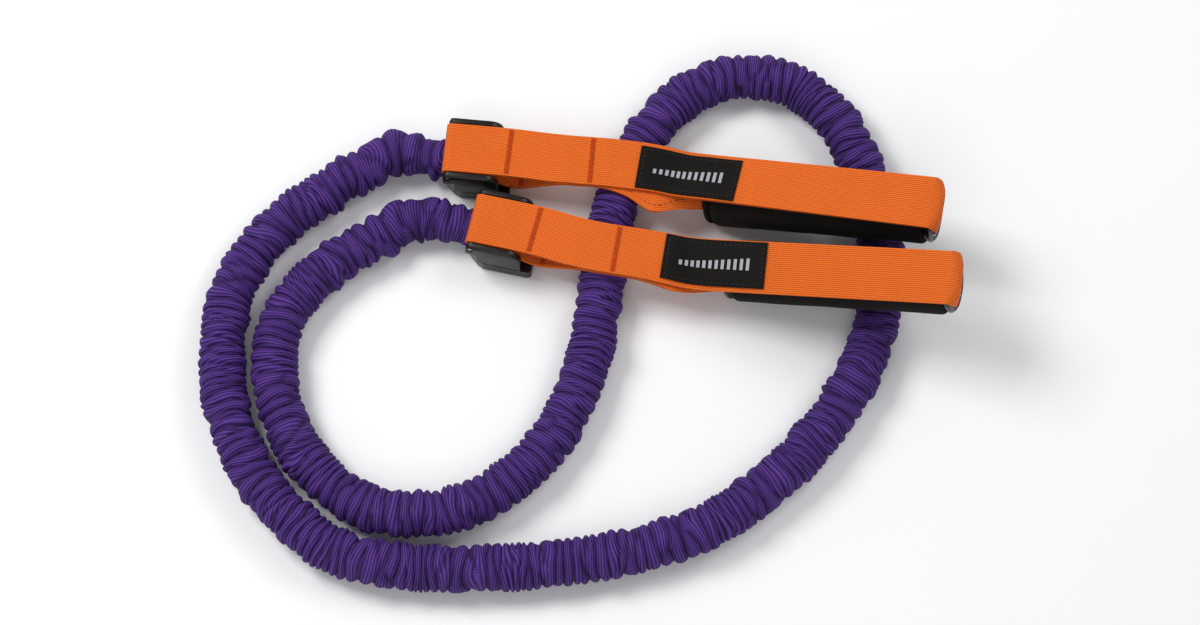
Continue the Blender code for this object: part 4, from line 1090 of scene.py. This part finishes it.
def thread_tube(name, points, radius, material, body):
    """A thread that follows the points, as a mesh."""
    line = bpy.data.curves.new(name, "CURVE")
    line.dimensions = "3D"
    line.bevel_depth = radius
    line.bevel_resolution = 1
    line.use_fill_caps = True
    spline = line.splines.new("POLY")
    spline.points.add(len(points) - 1)
    for target, place in zip(spline.points, points):
        target.co = (*place, 1.0)
    holder = bpy.data.objects.new(name, line)
    bpy.context.collection.objects.link(holder)
    mesh = bpy.data.meshes.new_from_object(holder.evaluated_get(bpy.context.evaluated_depsgraph_get()))
    bpy.data.objects.remove(holder, do_unlink=True)
    bm = bmesh.new()
    bm.from_mesh(mesh)
    bmesh.ops.remove_doubles(bm, verts=bm.verts, dist=1e-7)
    bmesh.ops.recalc_face_normals(bm, faces=bm.faces)
    return add_piece(name, bm, material, body, 60)


def make_tack(handle, name, at, material, lower=False):
    """A bar tack: one zigzag thread packed across a run of the webbing."""
    webbing = bpy.context.scene.webbing
    centre, flow, across, up = handle.run_frame(at, lower)
    passes = 62
    reach = webbing.width / 2.0 - 0.0009
    points = []
    for number in range(passes + 1):
        wide = -reach + 2.0 * reach * number / passes
        swing = TACK_LENGTH / 2.0 * (1.0 if number % 2 else -1.0)
        for share, lift in ((1.0, 0.00002), (0.4, 0.00030)):
            aside = wide + (0.0 if share == 1.0 else reach / passes)
            spot = centre + across * aside + flow * swing * share
            points.append(spot + up * (handle.half + lift))
    return thread_tube(f"bar_tack_{name}_{handle.letter}", points, 0.00025, material, handle.body)


def make_label(handle, material):
    """The sewn patch: a flat cloth with a sunk stitch line and a slightly filled middle."""
    label = bpy.context.scene.label
    length = LABEL_END - LABEL_START
    long_cells, wide_cells = 97, 45
    along = np.linspace(LABEL_END, LABEL_START, long_cells + 1)
    wide = np.linspace(-0.5, 0.5, wide_cells + 1) * label.width
    from_end = np.minimum(along - LABEL_START, LABEL_END - along)[:, None]
    edge = np.minimum(from_end, label.width / 2.0 - np.abs(wide)[None, :])
    seam = np.exp(-(((edge - label.border) / 0.00045) ** 2))
    fill = smoothstep(label.border, label.border + 0.004, edge)
    lift = handle.half + GAP + label.thickness + 0.00022 * (fill - seam)
    lift -= 0.00025 * (1.0 - smoothstep(0.0, 0.0007, edge))
    lift += 0.00012 * np.sin(380.0 * (along - LABEL_START)[:, None] + 90.0 * wide[None, :])
    rows = handle.run_rows(along)
    rows[:, 2] = handle.label_aside
    spots = handle.cloth(rows, False, wide, lift)
    bm, index = cloth_grid(long_cells, wide_cells, np.repeat(along[:, None], wide_cells + 1, axis=1), wide)
    for vert, (row, cell) in index.items():
        vert.co = spots[row, cell]
    bm.faces.ensure_lookup_table()
    bm.normal_update()
    if bm.faces[0].normal.z < 0.0:
        bmesh.ops.reverse_faces(bm, faces=bm.faces)
    piece = add_piece("label_patch_" + handle.letter, bm, material, handle.body, 60)
    thicken(piece, label.thickness, -1.0)
    round_edges(piece, "cut_edge", 0.00018, 2, 60.0)
    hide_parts("label_" + handle.letter)
    return piece


def add_stitches(name, places, stitch, material, body):
    """Short stitches of thread, each at a point with its lengthwise and its upward direction."""
    radius = STITCH_RADIUS
    bm = bmesh.new()
    for place, lengthwise, up in places:
        axes = (lengthwise, np.cross(up, lengthwise), up)
        matrix = placed_shape(place, axes, (stitch / 2.0, radius, radius))
        bmesh.ops.create_icosphere(bm, subdivisions=2, radius=1.0, matrix=matrix)
    return add_piece(name, bm, material, body, 60)


def make_patch_stitches(handle, material):
    """Running stitches round the patch's border."""
    label = bpy.context.scene.label
    inset = label.border
    long_side = LABEL_END - LABEL_START - 2.0 * inset
    short_side = label.width - 2.0 * inset
    pitch = 0.0023
    runs = (
        (long_side, lambda t: (inset + t, -short_side / 2.0), False),
        (short_side, lambda t: (inset + long_side, -short_side / 2.0 + t), True),
        (long_side, lambda t: (inset + long_side - t, short_side / 2.0), False),
        (short_side, lambda t: (inset, short_side / 2.0 - t), True),
    )
    places = []
    for run, spot, upright in runs:
        count = int(run / pitch)
        for number in range(count):
            along, w = spot((number + 0.5) * run / count)
            centre, flow, across, up = handle.run_frame(LABEL_START + along)
            lift = handle.half + GAP + label.thickness - 0.00012
            place = centre + across * (w + handle.label_aside) + up * lift
            places.append((place, across if upright else flow, up))
    return add_stitches("label_stitches_" + handle.letter, places, 0.0016, material, handle.body)


def make_seam(handle, material):
    """The line of dark stitches near the edge of the webbing's lower run, by the grip."""
    places = []
    for at in np.linspace(SEAM_START, SEAM_END, 11):
        centre, flow, across, up = handle.run_frame(float(at), True)
        places.append((centre - across * SEAM_ASIDE + up * (handle.half - 0.00004), flow, up))
    return add_stitches("lower_seam_" + handle.letter, places, 0.0019, material, handle.body)


def make_level_bars(handle, material):
    """A plain row of rising bars, printed on the patch where its mark goes."""
    label = bpy.context.scene.label
    bm = bmesh.new()
    middle = (LABEL_START + LABEL_END) / 2.0
    count, pitch, wide, film = 12, 0.0030, 0.0016, 0.00012
    for number in range(count):
        tall = 0.0024 + 0.0034 * number / (count - 1)
        along = middle + (number - (count - 1) / 2.0) * pitch
        centre, flow, across, up = handle.run_frame(along)
        w = handle.label_aside - 0.0028 + tall / 2.0
        place = centre + across * w + up * (handle.half + GAP + label.thickness + 0.00040)
        matrix = placed_shape(place, (flow, across, up), (wide, tall, film))
        bmesh.ops.create_cube(bm, size=1.0, matrix=matrix)
    edges = bm.edges[:]
    bmesh.ops.bevel(bm, geom=edges, offset=0.00004, segments=1, profile=0.5, affect="EDGES", material=-1)
    return add_piece("label_bars_" + handle.letter, bm, material, handle.body, 40)


def turned_ring(profile, steps, matrix):
    """A ring turned about the grip's axis from (along, radius) points, put in place."""
    bm = bmesh.new()
    verts = [bm.verts.new((along, 0.0, radius)) for along, radius in profile]
    edges = [bm.edges.new(pair) for pair in zip(verts, verts[1:] + verts[:1])]
    bmesh.ops.spin(
        bm,
        geom=verts + edges,
        cent=(0.0, 0.0, 0.0),
        axis=(1.0, 0.0, 0.0),
        angle=2.0 * math.pi,
        steps=steps,
        use_merge=True,
    )
    bmesh.ops.remove_doubles(bm, verts=bm.verts, dist=1e-7)
    bm.transform(matrix)
    bmesh.ops.recalc_face_normals(bm, faces=bm.faces)
    return bm


def make_foam(handle, material):
    """The foam grip: a soft tube with rounded ends and a slightly uneven skin."""
    grips = bpy.context.scene.grips
    begin = CAP_LENGTH + GAP
    end = GRIP_LENGTH - CAP_LENGTH - GAP
    bore, outer, soft = CORE_RADIUS + GAP, grips.foam_radius, grips.foam_rounding
    profile = [(begin, bore)]
    profile += arc((begin + soft, outer - soft), soft, 180.0, 90.0, 8)
    profile += [(x, outer) for x in np.linspace(begin + soft + 0.0015, end - soft - 0.0015, 52)]
    profile += arc((end - soft, outer - soft), soft, 90.0, 0.0, 8)
    profile.append((end, bore))
    bm = turned_ring(profile, 72, Matrix.Identity(4))
    rng = np.random.default_rng(21 if handle.letter == "a" else 22)
    spots = np.array([vert.co for vert in bm.verts])
    around = np.arctan2(spots[:, 1], spots[:, 2])[:, None]
    uneven = waves(spots[:, :1], around, 0.030, 2, 16, rng)[:, 0]
    for vert, lift in zip(bm.verts, uneven):
        radius = math.hypot(vert.co.y, vert.co.z)
        if radius > bore + 0.001:
            scale = 1.0 - 0.00010 * (1.0 + min(1.0, max(-1.0, lift))) / radius
            vert.co.y *= scale
            vert.co.z *= scale
    bm.transform(handle.grip_matrix())
    piece = add_piece("foam_grip_" + handle.letter, bm, material, handle.grip_body, 40)
    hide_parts("grip_foam_" + handle.letter)
    return piece


def make_cap(handle, end, material):
    """A grip's end cap: a rounded rim with a groove behind it, a shallow dish and a bead round the bore."""
    rim = bpy.context.scene.grips.cap_radius
    seat, shelf = CORE_RADIUS + GAP, 0.0009
    bead, dish, groove = 0.0006, 0.0008, 0.0004
    flange = CAP_LENGTH - 0.0009
    profile = [(shelf, CORE_BORE + 0.0002), (0.0004, CORE_BORE + 0.0001)]
    profile += arc((bead, CORE_BORE + 0.0007), bead, 200.0, 90.0, 5)
    profile += [(dish, CORE_BORE + 0.0017), (dish, rim - 0.0015)]
    profile += arc((CAP_EDGE, rim - CAP_EDGE), CAP_EDGE, 165.0, 90.0, 8)
    profile += arc((flange - groove, rim - groove), groove, 90.0, 0.0, 4)
    profile += [(flange, rim - 0.0010), (CAP_LENGTH, rim - 0.0010)]
    profile += [(CAP_LENGTH, seat), (shelf, seat)]
    if end == "right":
        profile = [(GRIP_LENGTH - along, radius) for along, radius in profile]
    bm = turned_ring(profile, 96, handle.grip_matrix())
    name = f"end_cap_{end}_{handle.letter}"
    piece = add_piece(name, bm, material, handle.grip_body, 35)
    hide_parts(f"grip_cap_{end}_{handle.letter}")
    return piece


def cad_copy(node, name, edge_radius, material):
    """A moulding's solid with its moulded edges rounded."""
    bm = bmesh.new()
    bm.from_mesh(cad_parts[node].data)
    bmesh.ops.remove_doubles(bm, verts=bm.verts, dist=1e-6)
    bmesh.ops.dissolve_limit(bm, angle_limit=math.radians(1.5), verts=bm.verts, edges=bm.edges)
    piece = add_piece(name, bm, material, "tube", 30)
    round_edges(piece, "moulded_edges", edge_radius, 3, 35.0)
    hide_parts(node)
    return piece


def make_buckle(handle, material):
    """The two mouldings of a buckle."""
    radius = bpy.context.scene.buckles.edge_radius
    for node, name in (("buckle_cover_", "buckle_top_"), ("buckle_base_", "buckle_bottom_")):
        cad_copy(node + handle.letter, name + handle.letter, radius, material)


def dress(nodes, material):
    """Give carried-over pieces their finish."""
    for node in nodes:
        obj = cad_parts[node]
        for material_slot in obj.material_slots:
            material_slot.material = material
        if not obj.material_slots:
            obj.data.materials.append(material)


# Operators


class TUBE_OT_stage(bpy.types.Operator):
    """Make the floor, the lights and the camera"""

    bl_idname = "tube.stage"
    bl_label = "Stage"

    def execute(self, context):
        stage = context.scene.stage
        bm = bmesh.new()
        bmesh.ops.create_grid(bm, x_segments=4, y_segments=4, size=4.0)
        bmesh.ops.translate(bm, verts=bm.verts, vec=(0.0, 0.0, -0.0003))
        mesh = bpy.data.meshes.new("floor")
        bm.to_mesh(mesh)
        bm.free()
        mesh.materials.append(floor_finish(stage))
        floor = bpy.data.objects.new("floor", mesh)
        context.collection.objects.link(floor)
        middle = Vector((-LAYOUT_CENTRE[0], -LAYOUT_CENTRE[1], 0.0))
        self.light(context, "left_softbox", middle, (-0.80, 0.40, 1.20), 0.60, 13.0)
        self.light(context, "right_softbox", middle, (0.80, 0.45, 1.15), 0.60, 5.0)
        self.light(context, "front_softbox", middle, (-0.10, -0.90, 1.15), 0.80, 3.8)
        world = bpy.data.worlds.new("studio")
        context.scene.world = world
        world.use_nodes = True
        world.node_tree.nodes["Background"].inputs["Color"].default_value = (1.0, 1.0, 1.0, 1.0)
        world.node_tree.nodes["Background"].inputs["Strength"].default_value = 0.36
        view = bpy.data.cameras.new("camera")
        view.lens = stage.lens
        view.sensor_width = 36.0
        view.sensor_fit = "HORIZONTAL"
        view.clip_start = 0.05
        camera = bpy.data.objects.new("camera", view)
        context.collection.objects.link(camera)
        back = Vector((0.0, -math.cos(stage.elevation), math.sin(stage.elevation)))
        camera.location = middle + back * stage.distance
        camera.rotation_euler = (math.pi / 2.0 - stage.elevation, 0.0, 0.0)
        context.scene.camera = camera
        context.scene.view_settings.view_transform = "Standard"
        return {"FINISHED"}

    def light(self, context, name, middle, offset, size, power):
        """A square soft light that faces the part."""
        data = bpy.data.lights.new(name, "AREA")
        data.shape = "SQUARE"
        data.size = size
        data.energy = power
        lamp = bpy.data.objects.new(name, data)
        context.collection.objects.link(lamp)
        lamp.location = middle + Vector(offset)
        lamp.rotation_euler = (-Vector(offset)).to_track_quat("-Z", "Y").to_euler()


class TUBE_OT_sleeve(bpy.types.Operator):
    """Make the gathered sleeve and dress the tube inside it"""

    bl_idname = "tube.sleeve"
    bl_label = "Sleeve"

    def execute(self, context):
        make_sleeve(both_handles(), knitted_finish(context.scene.sleeve))
        dress(["latex_tube"], latex_finish())
        return {"FINISHED"}


class TUBE_OT_webbing(bpy.types.Operator):
    """Make the webbing loops and their bar tacks"""

    bl_idname = "tube.webbing"
    bl_label = "Webbing"

    def execute(self, context):
        cloth = webbing_finish(context.scene.webbing)
        thread = thread_finish(context.scene.webbing)
        dark = stitch_finish()
        for handle in both_handles():
            make_strap(handle, cloth)
            for name, at in (("inner", INNER_TACK_AT), ("outer", OUTER_TACK_AT)):
                piece = make_tack(handle, name, at, thread)
                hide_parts(f"tack_{name}_{handle.letter}")
            make_tack(handle, "lower", LOWER_TACK_AT, thread, True)
            make_seam(handle, dark)
        return {"FINISHED"}


class TUBE_OT_labels(bpy.types.Operator):
    """Make the sewn patches"""

    bl_idname = "tube.labels"
    bl_label = "Labels"

    def execute(self, context):
        cloth = label_finish(context.scene.label)
        thread = stitch_finish()
        film = print_finish(context.scene.label)
        for handle in both_handles():
            make_label(handle, cloth)
            make_patch_stitches(handle, thread)
            make_level_bars(handle, film)
        return {"FINISHED"}


class TUBE_OT_grips(bpy.types.Operator):
    """Make the foam grips and their end caps"""

    bl_idname = "tube.grips"
    bl_label = "Grips"

    def execute(self, context):
        foam = foam_finish(context.scene.grips)
        gloss = cap_finish()
        for handle in both_handles():
            make_foam(handle, foam)
            make_cap(handle, "left", foam if handle.letter == "a" else gloss)
            make_cap(handle, "right", gloss)
        dress(["grip_core_a", "grip_core_b"], core_finish())
        return {"FINISHED"}


class TUBE_OT_buckles(bpy.types.Operator):
    """Make the buckles and dress their crossbars, plugs and screws"""

    bl_idname = "tube.buckles"
    bl_label = "Buckles"

    def execute(self, context):
        plastic = moulded_finish(context.scene.buckles)
        for handle in both_handles():
            make_buckle(handle, plastic)
            dress([f"{piece}_{handle.letter}" for piece in ("sleeve_ferrule", "tube_plug")], plastic)
        steel = steel_finish()
        for letter in ("a", "b"):
            dress([f"{piece}_{letter}" for piece in ("crossbar", "screw_near", "screw_far")], steel)
        return {"FINISHED"}


class TUBE_PT_panel(bpy.types.Panel):
    """Lists the steps that build the part"""

    bl_idname = "TUBE_PT_panel"
    bl_label = "Resistance Tube"
    bl_space_type = "VIEW_3D"
    bl_region_type = "UI"
    bl_category = "Resistance Tube"

    def draw(self, context):
        for operator in OPERATORS:
            self.layout.operator(operator.bl_idname)
        for name in SETTINGS:
            box = self.layout.box()
            group = getattr(context.scene, name)
            for field in group.bl_rna.properties:
                if not field.is_readonly and field.identifier != "name":
                    box.prop(group, field.identifier)


SETTINGS = {
    "sleeve": SleeveSettings,
    "webbing": WebbingSettings,
    "label": LabelSettings,
    "grips": GripSettings,
    "buckles": BuckleSettings,
    "stage": StageSettings,
}
OPERATORS = (TUBE_OT_stage, TUBE_OT_sleeve, TUBE_OT_webbing, TUBE_OT_labels, TUBE_OT_grips, TUBE_OT_buckles)


def register():
    for name, group in SETTINGS.items():
        bpy.utils.register_class(group)
        setattr(bpy.types.Scene, name, PointerProperty(type=group))
    for operator in OPERATORS:
        bpy.utils.register_class(operator)
    bpy.utils.register_class(TUBE_PT_panel)


def unregister():
    bpy.utils.unregister_class(TUBE_PT_panel)
    for operator in reversed(OPERATORS):
        bpy.utils.unregister_class(operator)
    for name, group in reversed(SETTINGS.items()):
        delattr(bpy.types.Scene, name)
        bpy.utils.unregister_class(group)


def main():
    register()
    bpy.ops.tube.stage()
    bpy.ops.tube.sleeve()
    bpy.ops.tube.webbing()
    bpy.ops.tube.labels()
    bpy.ops.tube.grips()
    bpy.ops.tube.buckles()


if __name__ == "__main__":
    main()
